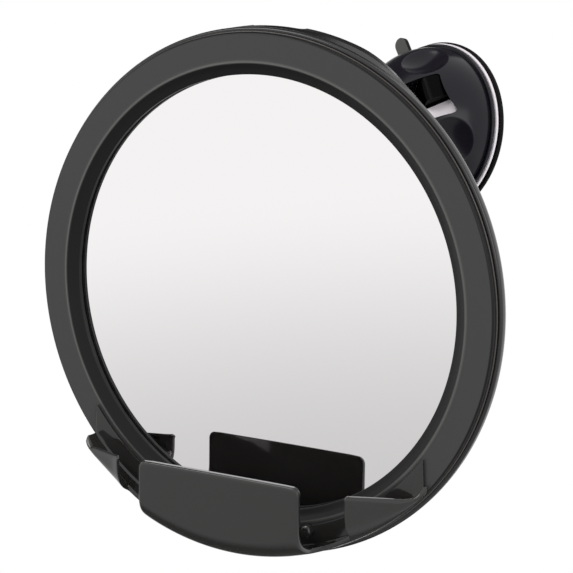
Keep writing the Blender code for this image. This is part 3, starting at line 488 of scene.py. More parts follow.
def silvered_glass(hex_colour):
    # Float glass silvered at the back: a clean mirror with the faintest haze of wiping marks.
    material, shader = new_material("Silvered float glass", hex_colour, metallic=1.0)
    place = add_node(material, "ShaderNodeTexCoord").outputs["Object"]
    haze = add_node(material, "ShaderNodeTexNoise", {"Vector": place, "Scale": 1 / (40 * mm)})
    spread = add_node(material, "ShaderNodeMapRange", {"Value": haze, "To Min": 0.004, "To Max": 0.02})
    plug(material, spread, shader.inputs["Roughness"])
    return material


def turned_steel(hex_colour):
    # Stainless steel off the lathe: fine rings of tool marks round each piece.
    material, shader = new_material("Turned stainless steel", hex_colour, metallic=1.0)
    tune(material, shader, 3 * mm, 0.28, spread=0.08, grain=0.5 * mm, depth=0.01 * mm)
    return material


def moulded_nylon(hex_colour):
    # Glass-filled nylon: matt and faintly mottled by its fibres.
    material, shader = new_material("Glass-filled grey nylon", hex_colour, ior=1.53)
    tune(material, shader, 5 * mm, 0.55, spread=0.08, grain=0.6 * mm, depth=0.03 * mm)
    return material


class MIRROR_OT_finishes(Operator):
    """Mix the finishes and repaint the small solids that keep their shape"""
    bl_idname = "mirror.finishes"
    bl_label = "Finishes"

    def execute(self, context):
        hues = context.scene.mirror_colours
        paint["satin_ring"] = satin_abs(hues, context.scene.mirror_head)
        paint["gloss_tray"] = gloss_abs(hues.tray)
        paint["shell_black"] = gloss_abs(hues.shell, "Semi-gloss shell ABS", 0.24)
        paint["bead_grey"] = gloss_abs(hues.bead, "Satin bead ABS", 0.3)
        paint["dome_gloss"] = gloss_abs(hues.dome, "Blue black gloss ABS", 0.2, 0.22)
        paint["lever_black"] = gloss_abs(hues.lever, "Moulded black acetal", 0.3, 0.05)
        paint["plate_white"] = natural_polypropylene(hues.plate)
        paint["rubber"] = moulded_rubber(hues, context.scene.mirror_cup)
        paint["mirror"] = silvered_glass(hues.glass)
        paint["steel"] = turned_steel(hues.steel)
        paint["nylon"] = moulded_nylon(hues.nylon)
        slots = {entry["node"]: entry["material_slot"] for entry in frame["record"]["subparts"]}
        for name, thing in frame["nodes"].items():
            thing.data.materials.clear()
            thing.data.materials.append(paint[slots[name]])
        return {"FINISHED"}


def face_frame(sizes):
    """The frame at the middle of the ring's front plane."""
    return frame_of(head_across, head_out, head_up, ball_centre + head_out * sizes.ball_depth)


class MIRROR_OT_front_ring(Operator):
    """Turn the front ring, with its ridge and hollow bevel, and the seam bead behind it"""
    bl_idname = "mirror.front_ring"
    bl_label = "Front ring"

    skirt_wall = 1.6 * mm
    skirt_inset = 4.0 * mm
    skirt_depth = 10.0 * mm
    deck_depth = 4.0 * mm
    bead_thickness = 0.8 * mm
    bead_overhang = 0.4 * mm
    bead_width = 2.1 * mm

    def execute(self, context):
        head = context.scene.mirror_head
        ridge = head.ring_radius - head.face_width
        lip = ridge - head.bevel_width
        lip_back = -head.lip_depth - head.lip_thickness
        skirt = head.ring_radius - self.skirt_inset
        hollow = (head.ridge_rise - head.lip_depth) / 2 - head.ridge_rise / 2
        skirt_inner = skirt - self.skirt_wall
        corners = [(lip, lip_back, 0), (lip, -head.lip_depth, head.ridge_rise)]
        corners += [((lip + ridge) / 2, hollow, 3 * head.bevel_width)]
        corners += [(ridge, head.ridge_rise, head.ridge_rise)]
        corners += [(ridge + 3 * head.ridge_rise, 0, head.bevel_width)]
        corners += [(head.ring_radius, 0, head.ring_fillet), (head.ring_radius, -head.ring_side, seat_gap)]
        corners += [(skirt, -head.ring_side, 0), (skirt, -self.skirt_depth, seat_gap)]
        corners += [(skirt_inner, -self.skirt_depth, seat_gap), (skirt_inner, -self.deck_depth, 0)]
        corners += [(head.glass_radius + seat_gap, -self.deck_depth, 0), (head.glass_radius, lip_back, 0)]
        place = face_frame(head)
        ring = new_object("ring_moulding", turned(fillet(corners), head.sides), place)
        finish(ring, "satin_ring", "head", "front_ring")

        front = -head.ring_side - seat_gap
        back = front - self.bead_thickness
        outer = head.ring_radius + self.bead_overhang
        bead = [(outer - self.bead_width, front, 0), (outer, front, self.bead_overhang)]
        bead += [(outer, back, self.bead_overhang), (outer - self.bead_width, back, 0)]
        bead = new_object("seam_bead_strip", turned(fillet(bead), head.sides), place)
        finish(bead, "bead_grey", "head", "seam_bead")
        return {"FINISHED"}


class MIRROR_OT_back_shell(Operator):
    """Mould the back shell, with the filling hump and mouth at its top and the socket's well"""
    bl_idname = "mirror.back_shell"
    bl_label = "Back shell"

    rim_front = 3.4 * mm
    rim_inner = 97.8 * mm
    skirt_depth = 10.0 * mm
    shoulder_depth = 7.0 * mm
    taper = 5.3 * mm
    back_round = 12.0 * mm
    well_radius = 12.8 * mm
    well_front = -15.36 * mm
    hump_rise = 7.5 * mm
    hump_flat = math.radians(20)
    hump_foot = math.radians(50)
    mouth_half_width = 12.0 * mm
    mouth_depth = 15.5 * mm
    mouth_span = 7.0 * mm
    mouth_corner = 2.5 * mm

    def hump_share(self, angle):
        off_top = abs((angle - math.pi / 2 + math.pi) % (2 * math.pi) - math.pi)
        share = min(max((self.hump_foot - off_top) / (self.hump_foot - self.hump_flat), 0), 1)
        return share * share * (3 - 2 * share)

    def execute(self, context):
        head = context.scene.mirror_head
        wall, back = head.shell_wall, -head.shell_depth
        shoulder = head.shell_radius - self.taper
        back_edge = shoulder - self.back_round
        turn_out = -(self.shoulder_depth + head.shell_depth) / 2
        middle = (shoulder + back_edge) / 2
        rim, well, well_front = head.shell_radius, self.well_radius, self.well_front
        corners = [(self.rim_inner, -self.rim_front, seat_gap), (rim, -self.rim_front, wall / 2)]
        corners += [(rim, -self.shoulder_depth, 6 * wall), (shoulder + wall, turn_out + wall, 4 * wall)]
        corners += [(shoulder - wall, turn_out - wall, 4 * wall), (middle, back + wall / 2, 3 * wall)]
        corners += [(back_edge, back, 3 * wall), (well, back, wall / 4), (well, well_front, 0)]
        corners += [(0, well_front, 0), (0, well_front + wall, 0), (well + wall, well_front + wall, wall / 2)]
        corners += [(well + wall, back + wall, wall / 2), (back_edge - wall, back + wall, wall)]
        corners += [(middle - wall, back + 3 * wall / 2, wall), (shoulder - 2 * wall, turn_out, wall)]
        corners += [(self.rim_inner, -self.skirt_depth - seat_gap, 0)]

        def swell(radius, height, angle):
            if radius < back_edge - 2 * wall or height > -self.skirt_depth:
                return radius
            fullness = min((rim - radius) / self.hump_rise, 1)
            if radius > back_edge:
                fullness = min(fullness, (-height - self.skirt_depth) / wall)
            return radius + self.hump_rise * self.hump_share(angle) * max(fullness, 0)

        shape = turned(fillet(corners), head.sides, swell)
        shell = new_object("back_shell_moulding", shape, face_frame(head))
        low, high = -self.mouth_depth - self.mouth_span / 2, -self.mouth_depth + self.mouth_span / 2
        half, corner = self.mouth_half_width, self.mouth_corner
        places = ((-half, low), (half, low), (half, high), (-half, high))
        mouth = fillet([(*place, corner) for place in places])
        combine(shell, prism(mouth, shoulder - 3 * wall, rim + overrun, plan), "DIFFERENCE")
        finish(shell, "shell_black", "head", "back_shell")
        return {"FINISHED"}


class MIRROR_OT_glass(Operator):
    """Cut the round mirror glass, with its ground edge"""
    bl_idname = "mirror.glass"
    bl_label = "Mirror glass"

    ground_edge = 0.6 * mm

    def execute(self, context):
        head = context.scene.mirror_head
        front, back = -head.glass_depth, -head.glass_depth - head.glass_thickness
        corners = [(0, back, 0), (head.glass_radius, back, self.ground_edge)]
        corners += [(head.glass_radius, front, self.ground_edge), (0, front, 0)]
        glass = new_object("mirror_glass", turned(fillet(corners, 2), head.sides), face_frame(head))
        finish(glass, "mirror", "head", "mirror_pane")
        return {"FINISHED"}


class MIRROR_OT_razor_tray(Operator):
    """Mould the razor tray: a saddle on the ring, a curled floor, three flaps and two notches"""
    bl_idname = "mirror.razor_tray"
    bl_label = "Razor tray"

    saddle_inner = 91.2 * mm
    curl_power = 2.6
    side_height = 15.5 * mm
    left_tip_height = 8.2 * mm
    right_tip_height = 6.6 * mm
    tip_inset = 4.0 * mm
    half_width = 77.5 * mm
    end_start = 67.0 * mm
    left_end_rise = 0.8 * mm
    right_end_rise = 4.0 * mm
    right_flare = 2.2 * mm
    end_corner = 3.0 * mm
    lip_drop = 1.2 * mm
    top_steps = 16
    floor_steps = 4
    corner_steps = 8
    search_steps = 40
    smooth_steps = 4
    smooth_reach = 0.9
    curl_stretch = 1.1
    curl_inner_share = 0.7
    grid_step = 1.2 * mm
    grid_clearance = 0.55
    net_tolerance = 1e-7
    weld_reach = 0.02 * mm
    edge_steps = 6
    edge_square_share = 0.62
    screw_spread = 26.0 * mm
    screw_circle = 93.4 * mm
    boss_radius = 2.4 * mm
    boss_height = 5.0 * mm
    boss_sides = 40

    def front_height(self, x):
        """How far the front stands off the ring, falling away from the centre flap to the ends."""
        tray = self.tray
        away = abs(x - tray.shift)
        low = self.flat + run_gap
        middle = (tray.side_start + tray.centre_half_width) / 2
        tip = self.left_tip_height if x < 0 else self.right_tip_height
        stops = [(0, tray.front), (tray.centre_half_width, tray.front), (middle, tray.front - tray.wall / 2)]
        stops += [(tray.side_start, self.side_height), (self.half_width - self.tip_inset, tip)]
        stops += [(self.half_width, low), (2 * self.half_width, low)]
        for (a, start), (b, end) in zip(stops, stops[1:]):
            if away <= b:
                return start + (end - start) * (away - a) / (b - a)
        return low

    def is_centre(self, x):
        """Whether a place across belongs to the centre flap and not to a side flap."""
        return abs(x - self.tray.shift) < (self.tray.side_start + self.tray.centre_half_width) / 2

    def depth(self, x):
        """How far the front's curl reaches in from the ring's edge."""
        if self.is_centre(x):
            return self.tray.front / 2
        return max(self.radius - math.hypot(x, self.top_edge(x)) - self.lip_drop, 0)

    def smooth(self, measure, x):
        """A measure averaged over a short span across, so that the flaps flow into each other."""
        span = 3 * self.tray.wall
        shares = [i / self.smooth_steps - 1 for i in range(2 * self.smooth_steps + 1)]
        weights = [math.cos(math.pi / 2 * share * self.smooth_reach) for share in shares]
        return sum(w * measure(x + span * share) for w, share in zip(weights, shares)) / sum(weights)

    def top_edge(self, x):
        """How high a flap's top edge lies at one place across, measured from the ring's centre."""
        if self.is_centre(x):
            return self.tray.centre_span - self.radius
        rise = self.left_end_rise if x < 0 else self.right_end_rise
        end_share = max(abs(x) - self.end_start, 0) / (self.half_width - self.end_start)
        return self.tray.side_span - self.radius + rise * end_share ** 2

    def curl_length(self, x):
        return self.curl_stretch * (self.smooth(self.front_height, x) - seat_gap)

    def point(self, x, t, inside):
        """A point of the tray's outer or inner face, t metres along the section from the saddle."""
        front, depth = self.smooth(self.front_height, x), self.smooth(self.depth, x)
        radius, foot = self.radius, seat_gap
        if inside:
            wall = self.tray.wall
            radius, foot, front = radius - wall, self.flat, front - wall
            depth = max(depth - self.curl_inner_share * wall, 0)
        rise = max(front - foot, run_gap)
        flat_length = self.radius - self.saddle_inner
        length = self.curl_length(x)
        past = t - flat_length - length
        if t <= flat_length:
            r = self.saddle_inner + (radius - self.saddle_inner) * t / flat_length
            height = foot
        else:
            turn = min(1 + past / length, 1) * math.pi / 2
            r = radius - depth * (1 - max(math.cos(turn), 0) ** (2 / self.curl_power))
            height = foot + rise * math.sin(turn) ** (2 / self.curl_power)
        return Vector((x, -height, max(past, 0) - math.sqrt(max(r * r - x * x, 0))))

    def reach(self, x, passes):
        """How far along the section the outer face first passes a test of its place."""
        flat_length = self.radius - self.saddle_inner
        low, high = flat_length, flat_length + self.curl_length(x) + 4 * self.tray.front
        for _ in range(self.search_steps):
            middle = (low + high) / 2
            if passes(self.point(x, middle, 0)):
                high = middle
            else:
                low = middle
        return high

    def outline(self):
        """The tray's outline, unrolled: across, and along the section, with each corner's radius."""
        tray = self.tray
        flat_length = self.radius - self.saddle_inner
        corner = tray.wall / 2
        halves = []
        for way in (1, -1):
            def top(x):
                level = self.top_edge(x)
                return max(self.reach(x, lambda p: p.z >= level), flat_length + self.curl_length(x))

            def floor(x):
                return self.reach(x, lambda p: -p.y >= tray.notch_height)

            def along(start, end, height, count):
                places = [start + (end - start) * i / count for i in range(count + 1)]
                return [(x, height(x), 0) for x in places]

            start = tray.side_shift + way * tray.side_start
            middle = tray.shift + way * tray.centre_half_width
            end = way * tray.saddle_half_width
            tip = end + (self.right_flare if way > 0 else 0)
            points = [(end, 0, corner), (end, flat_length - corner, tray.wall)]
            points += [(tip, top(tip), self.end_corner)]
            points += along(tip - way * self.end_corner, start + way * tray.side_corner, top, self.top_steps)
            points += [(start, top(start), tray.side_corner), (start, floor(start), corner)]
            notch_end = middle + way * tray.notch_corner
            points += along(start - way * corner, notch_end, floor, self.floor_steps)
            points += [(middle, floor(middle), tray.notch_corner), (middle, top(middle), tray.centre_corner)]
            points += along(middle - way * tray.centre_corner, tray.shift, top, self.top_steps)[:-1]
            halves.append(points)
        return halves[0] + halves[1][::-1]

    def even(self, outline, step):
        """The outline again, with points an even step apart."""
        points = []
        for (a, b), (c, d) in zip(outline, outline[1:] + outline[:1]):
            span = math.hypot(c - a, d - b)
            count = max(round(span / step), 1)
            if span > step / 20:
                points += [Vector((a + (c - a) * i / count, b + (d - b) * i / count)) for i in range(count)]
        return points

    def execute(self, context):
        head = context.scene.mirror_head
        self.tray = context.scene.mirror_tray
        self.radius = head.ring_radius
        self.flat = seat_gap + self.tray.saddle
        edge = self.even(fillet(self.outline(), self.corner_steps), self.grid_step)
        count = len(edge)
        inward = []
        for i in range(count):
            along = (edge[(i + 1) % count] - edge[i - 1]).normalized()
            inward.append(Vector((-along.y, along.x)))
        inset = [p + d * self.tray.wall / 2 for p, d in zip(edge, inward)]
        low = Vector((min(p.x for p in inset), min(p.y for p in inset)))
        high = Vector((max(p.x for p in inset), max(p.y for p in inset)))
        grid = []
        for i in range(int((high.x - low.x) / self.grid_step) + 1):
            for k in range(int((high.y - low.y) / self.grid_step) + 1):
                spot = low + Vector((i, k)) * self.grid_step
                if self.is_inside(spot, inset) and self.is_clear(spot, inset):
                    grid.append(spot)
        flat, _, faces, *_ = delaunay_2d_cdt(inset + grid, [], [list(range(count))], 1, self.net_tolerance)
        shape = self.skin(flat, faces, count, edge, inset)
        bosses = []
        for across in (-self.screw_spread, 0, self.screw_spread):
            boss = [(0, self.flat / 2, 0), (self.boss_radius, self.flat / 2, 0)]
            boss += [(self.boss_radius, self.boss_height, self.boss_radius / 2), (0, self.boss_height, 0)]
            up = -math.sqrt(self.screw_circle ** 2 - across ** 2)
            bosses.append(moved(turned(fillet(boss), self.boss_sides), at(across, 0, up)))
        tray = new_object("razor_tray_moulding", joined([shape, *bosses]), face_frame(head))
        net = bmesh.new()
        net.from_mesh(tray.data)
        bmesh.ops.remove_doubles(net, verts=net.verts, dist=self.weld_reach)
        bmesh.ops.dissolve_degenerate(net, edges=net.edges, dist=self.weld_reach)
        net.to_mesh(tray.data)
        net.free()
        finish(tray, "gloss_tray", "head", "razor_tray")
        return {"FINISHED"}

    def is_inside(self, spot, loop):
        inside = False
        for a, b in zip(loop, loop[1:] + loop[:1]):
            if (a.y > spot.y) != (b.y > spot.y):
                crossing = a.x + (b.x - a.x) * (spot.y - a.y) / (b.y - a.y)
                inside = inside != (spot.x < crossing)
        return inside

    def is_clear(self, spot, loop):
        near = self.grid_step * self.grid_clearance
        return all(abs(p.x - spot.x) > near or abs(p.y - spot.y) > near for p in loop)

    def skin(self, flat, faces, count, edge, inset):
        """Both faces of the tray over the flat net, and the rounded edge that joins them."""
        verts = [self.point(p.x, p.y, 0) for p in flat] + [self.point(p.x, p.y, 1) for p in flat]
        half = len(flat)
        shape_faces = [tuple(face) for face in faces]
        shape_faces += [tuple(half + i for i in reversed(face)) for face in faces]
        loops = [list(range(count))]
        for step in range(1, self.edge_steps):
            turn = math.pi * step / self.edge_steps
            loop = []
            for rim, p in zip(edge, inset):
                outer, inner = self.point(p.x, p.y, 0), self.point(p.x, p.y, 1)
                middle, half_wall = (outer + inner) / 2, (outer - inner) / 2
                rim_middle = (self.point(rim.x, rim.y, 0) + self.point(rim.x, rim.y, 1)) / 2
                out = (rim_middle - middle).normalized() * half_wall.length
                lean = math.copysign(abs(math.cos(turn)) ** self.edge_square_share, math.cos(turn))
                loop.append(len(verts))
                verts.append(middle + half_wall * lean + out * math.sin(turn) ** self.edge_square_share)
            loops.append(loop)
        loops.append([half + i for i in range(count)])
        for a, b in zip(loops, loops[1:]):
            for i in range(count):
                k = (i + 1) % count
                shape_faces.append((a[i], a[k], b[k], b[i]))
        return verts, shape_faces


class MIRROR_OT_suction_pad(Operator):
    """Mould the rubber pad with its pull tab, and the white pressure plate on it"""
    bl_idname = "mirror.suction_pad"
    bl_label = "Suction pad and plate"

    web = 1.0 * mm
    boss_radius = 8.6 * mm
    boss_height = 6.4 * mm
    lip = 1.6 * mm
    neck_hole = 4.3 * mm
    pocket = 6.6 * mm
    tab_turn = math.radians(4)
    tab_reach = 9.5 * mm
    tab_half_width = 3.1 * mm
    tab_thickness = 2.0 * mm
    tab_steps = 16
    edge_round = 0.35 * mm
    plate_thickness = 1.2 * mm
    middle_radius = 30.5 * mm
    middle_thickness = 2.6 * mm
    deck_radius = 12.5 * mm
    deck_height = 10.0 * mm
    deck_hole = 5.2 * mm
    deck_roof = 2.4 * mm
    ledge_start = 14.5 * mm
    ledge_end = 26.0 * mm
    ledge_low = 18.0 * mm
    ledge_high = 24.0 * mm
    ledge_near = 1.8 * mm
    ledge_far = 10.4 * mm

    def execute(self, context):
        cup = context.scene.mirror_cup
        rim, thick = cup.pad_radius, cup.pad_thickness
        roof = self.boss_height - self.lip
        corners = [(0, 0, 0), (rim, 0, thick / 3), (rim, thick, thick / 3)]
        corners += [(self.boss_radius, thick, seat_gap), (self.boss_radius, self.boss_height, seat_gap)]
        corners += [(self.neck_hole, self.boss_height, seat_gap), (self.neck_hole, roof, 0)]
        corners += [(self.pocket, roof, 0), (self.pocket, self.web, 0), (0, self.web, 0)]
        pad = new_object("rubber_pad", turned(fillet(corners), cup.sides), cup_frame)
        inner = rim - 2 * self.tab_half_width
        end = rim + self.tab_reach - self.tab_half_width
        rounding = arc((0, end), self.tab_half_width, 0, math.pi, self.tab_steps)
        outline = [(self.tab_half_width, inner), *rounding, (-self.tab_half_width, inner)]
        low = (thick - self.tab_thickness) / 2
        tab = prism(outline, low, low + self.tab_thickness, facing)
        combine(pad, moved(tab, Matrix.Rotation(-self.tab_turn, 4, "Y")), "UNION")
        soften(pad, self.edge_round, steps=2, angle=50)
        finish(pad, "rubber", "cup", "suction_pad")

        base = thick + seat_gap
        top, middle_top = base + self.plate_thickness, base + self.middle_thickness
        hole, ceiling = self.boss_radius + seat_gap, self.deck_height - self.deck_roof
        corners = [(hole, base, 0), (cup.plate_radius, base, seat_gap), (cup.plate_radius, top, seat_gap)]
        corners += [(self.middle_radius, top, seat_gap), (self.middle_radius, middle_top, seat_gap)]
        corners += [(self.deck_radius, middle_top, seat_gap)]
        corners += [(self.deck_radius, self.deck_height, 2 * seat_gap)]
        corners += [(self.deck_hole, self.deck_height, seat_gap)]
        corners += [(self.deck_hole, ceiling, 0), (hole, ceiling, 0)]
        plate = new_object("pressure_plate_disc", turned(fillet(corners), cup.sides), cup_frame)
        floor = base + self.plate_thickness / 2
        ledge = fillet([(self.ledge_start, floor, 0), (self.ledge_end, floor, 0),
                        (self.ledge_end, self.ledge_low, mm), (self.ledge_start, self.ledge_high, mm)])
        combine(plate, prism(ledge, -self.ledge_far, -self.ledge_near, plan), "UNION")
        finish(plate, "plate_white", "cup", "pressure_plate")
        return {"FINISHED"}


class MIRROR_OT_cup_cover(Operator):
    """Mould the domed cover, with its groove, finger scoops and lever slot"""
    bl_idname = "mirror.cup_cover"
    bl_label = "Cup cover"

    base = 4.2 * mm
    flange_thickness = 1.6 * mm
    groove_width = 0.6 * mm
    groove_depth = 0.7 * mm
    curve_power = 1.9
    cap_radius = 9.5 * mm
    cap_wall = 3.0 * mm
    cap_hole = 4.3 * mm
    slot_low_side = 9.4 * mm
    slot_high_side = 9.3 * mm
    slot_inner = 8.6 * mm
    slot_outer = 28.3 * mm
    slot_slant = 1.6 * mm
    slot_floor = 9.0 * mm
    slot_corner = 1.6 * mm
    scoop_turn = math.radians(43)
    scoop_slope = math.radians(42)
    scoop_surface = (29.5 * mm, 20.0 * mm)
    scoop_softness = 0.12 * mm
    dome_stretch = 1.1
    curve_steps = 110

    def curve(self, radius, low, high):
        """The dome's curve from its foot up to its flat seat."""
        points = []
        for i in range(self.curve_steps + 1):
            angle = math.pi / 2 * i / self.curve_steps
            r = radius * math.cos(angle) ** (2 / self.curve_power)
            if r > self.cap_radius:
                points.append((r, low + (high - low) * math.sin(angle) ** (2 / self.curve_power), 0))
        return points

    def scooped(self, shape, centres, radius):
        """Press the scoops into the dome: each point is pushed in until it lies on the ball."""
        verts = []
        for v in shape[0]:
            spot = Vector(v)
            out = Vector((spot.x, spot.y / self.dome_stretch, spot.z)).normalized()
            for centre in centres:
                gap = spot - centre
                along = gap.dot(out)
                inner = along * along - gap.length_squared + radius * radius
                if inner > 0:
                    push = along + math.sqrt(inner)
                    soft = self.scoop_softness
                    spot -= out * (push + math.sqrt(push * push + 4 * soft * soft)) / 2
            verts.append(tuple(spot))
        return verts, shape[1]

    def execute(self, context):
        cup = context.scene.mirror_cup
        top = self.base + self.flange_thickness
        groove = cup.dome_radius + self.groove_width
        inner = cup.dome_radius - cup.dome_wall
        roof = cup.dome_height - self.cap_wall
        corners = [(inner, self.base, 0), (cup.flange_radius, self.base, seat_gap)]
        corners += [(cup.flange_radius, top, 2 * seat_gap), (groove, top, seat_gap / 2)]
        corners += [(groove, top - self.groove_depth, 0), (cup.dome_radius, top - self.groove_depth, 0)]
        corners += self.curve(cup.dome_radius, top, cup.dome_height)
        corners += [(self.cap_radius, cup.dome_height, self.cap_wall / 3)]
        corners += [(self.cap_hole, cup.dome_height, seat_gap)]
        corners += [(self.cap_hole, roof, 0), (self.cap_radius, roof, 0)]
        corners += [(r, h, 0) for r, h, _ in reversed(self.curve(inner, self.base, roof))][:-1]
        reach = cup.scoop_radius - cup.scoop_depth
        out = self.scoop_surface[0] + reach * math.cos(self.scoop_slope)
        up = self.scoop_surface[1] + reach * math.sin(self.scoop_slope)
        turns = (self.scoop_turn, -self.scoop_turn)
        centres = [Vector((out * math.cos(t), -up, out * math.sin(t))) for t in turns]
        outer_shape = turned(fillet(corners), cup.sides)
        cover = new_object("cup_cover_dome", self.scooped(outer_shape, centres, cup.scoop_radius), cup_frame)
        low, high, corner = -self.slot_low_side, self.slot_high_side, self.slot_corner
        slot = fillet([(self.slot_inner, low, corner), (self.slot_outer, low, corner),
                       (self.slot_outer - self.slot_slant, high, corner), (self.slot_inner, high, corner)])
        combine(cover, prism(slot, self.slot_floor, cup.dome_height + overrun, facing), "DIFFERENCE")
        finish(cover, "dome_gloss", "cup", "cup_cover")
        return {"FINISHED"}


class MIRROR_OT_lock_lever(Operator):
    """Mould the cam lever that lies in the cover's slot"""
    bl_idname = "mirror.lock_lever"
    bl_label = "Lock lever"

    cam_offset = 2.0 * mm
    cam_phase = math.radians(50)
    cam_radius = 6.414 * mm
    hub_half_width = 7.3 * mm
    stem_half_width = 3.3 * mm
    low_side = 0.9 * mm
    cheek_reach = 13.5 * mm
    high_side = 8.9 * mm
    floor = -4.0 * mm
    beam_top = 4.0 * mm
    shoulder = 12.0 * mm
    crown = (20.0 * mm, 9.0 * mm)
    tip = (27.6 * mm, 1.5 * mm)
    split_reach = 11.5 * mm
    pin_radius = 1.8 * mm
    edge = 0.8 * mm
    edge_round = 0.5 * mm
    cam_sides = 72

    def execute(self, context):
        hub_centre = (self.cam_offset * math.sin(self.cam_phase), -self.cam_offset * math.cos(self.cam_phase))
        hub = arc(hub_centre, self.cam_radius, 0, 2 * math.pi, self.cam_sides)[:-1]
        hub = prism(hub, -self.hub_half_width, self.hub_half_width, plan)
        lever = new_object("lock_lever_moulding", hub, pin_frame)
        corners = [(0, self.floor, 0), (self.tip[0], self.floor, self.edge), (*self.tip, 2 * self.edge)]
        corners += [(self.crown[0] + 4 * self.edge, self.crown[1] - self.edge, 6 * self.edge)]
        corners += [(*self.crown, 5 * self.edge), (self.shoulder, self.beam_top, 4 * self.edge)]
        corners += [(0, self.beam_top, 0)]
        combine(lever, prism(fillet(corners), -self.low_side, self.high_side, plan), "UNION")
        reach, top = self.cheek_reach, self.beam_top - self.edge
        cheeks = [(0, self.floor, 0), (reach, self.floor, self.edge), (reach, top, self.edge), (0, top, 0)]
        combine(lever, prism(fillet(cheeks), -self.hub_half_width, self.hub_half_width, plan), "UNION")
        back, far = -2 * self.cam_radius, 3 * self.cam_radius
        slim = [(back, back), (self.split_reach, back), (self.split_reach, far), (back, far)]
        combine(lever, prism(slim, self.hub_half_width, self.hub_half_width + overrun, plan), "DIFFERENCE")
        split = self.stem_half_width + run_gap
        combine(lever, prism(slim, -split, split, plan), "DIFFERENCE")
        reach = self.hub_half_width + overrun
        bore(lever, aimed((0, 0, 1)), self.pin_radius, -reach, reach)
        soften(lever, self.edge_round)
        finish(lever, "lever_black", "lever", "lock_lever")
        return {"FINISHED"}


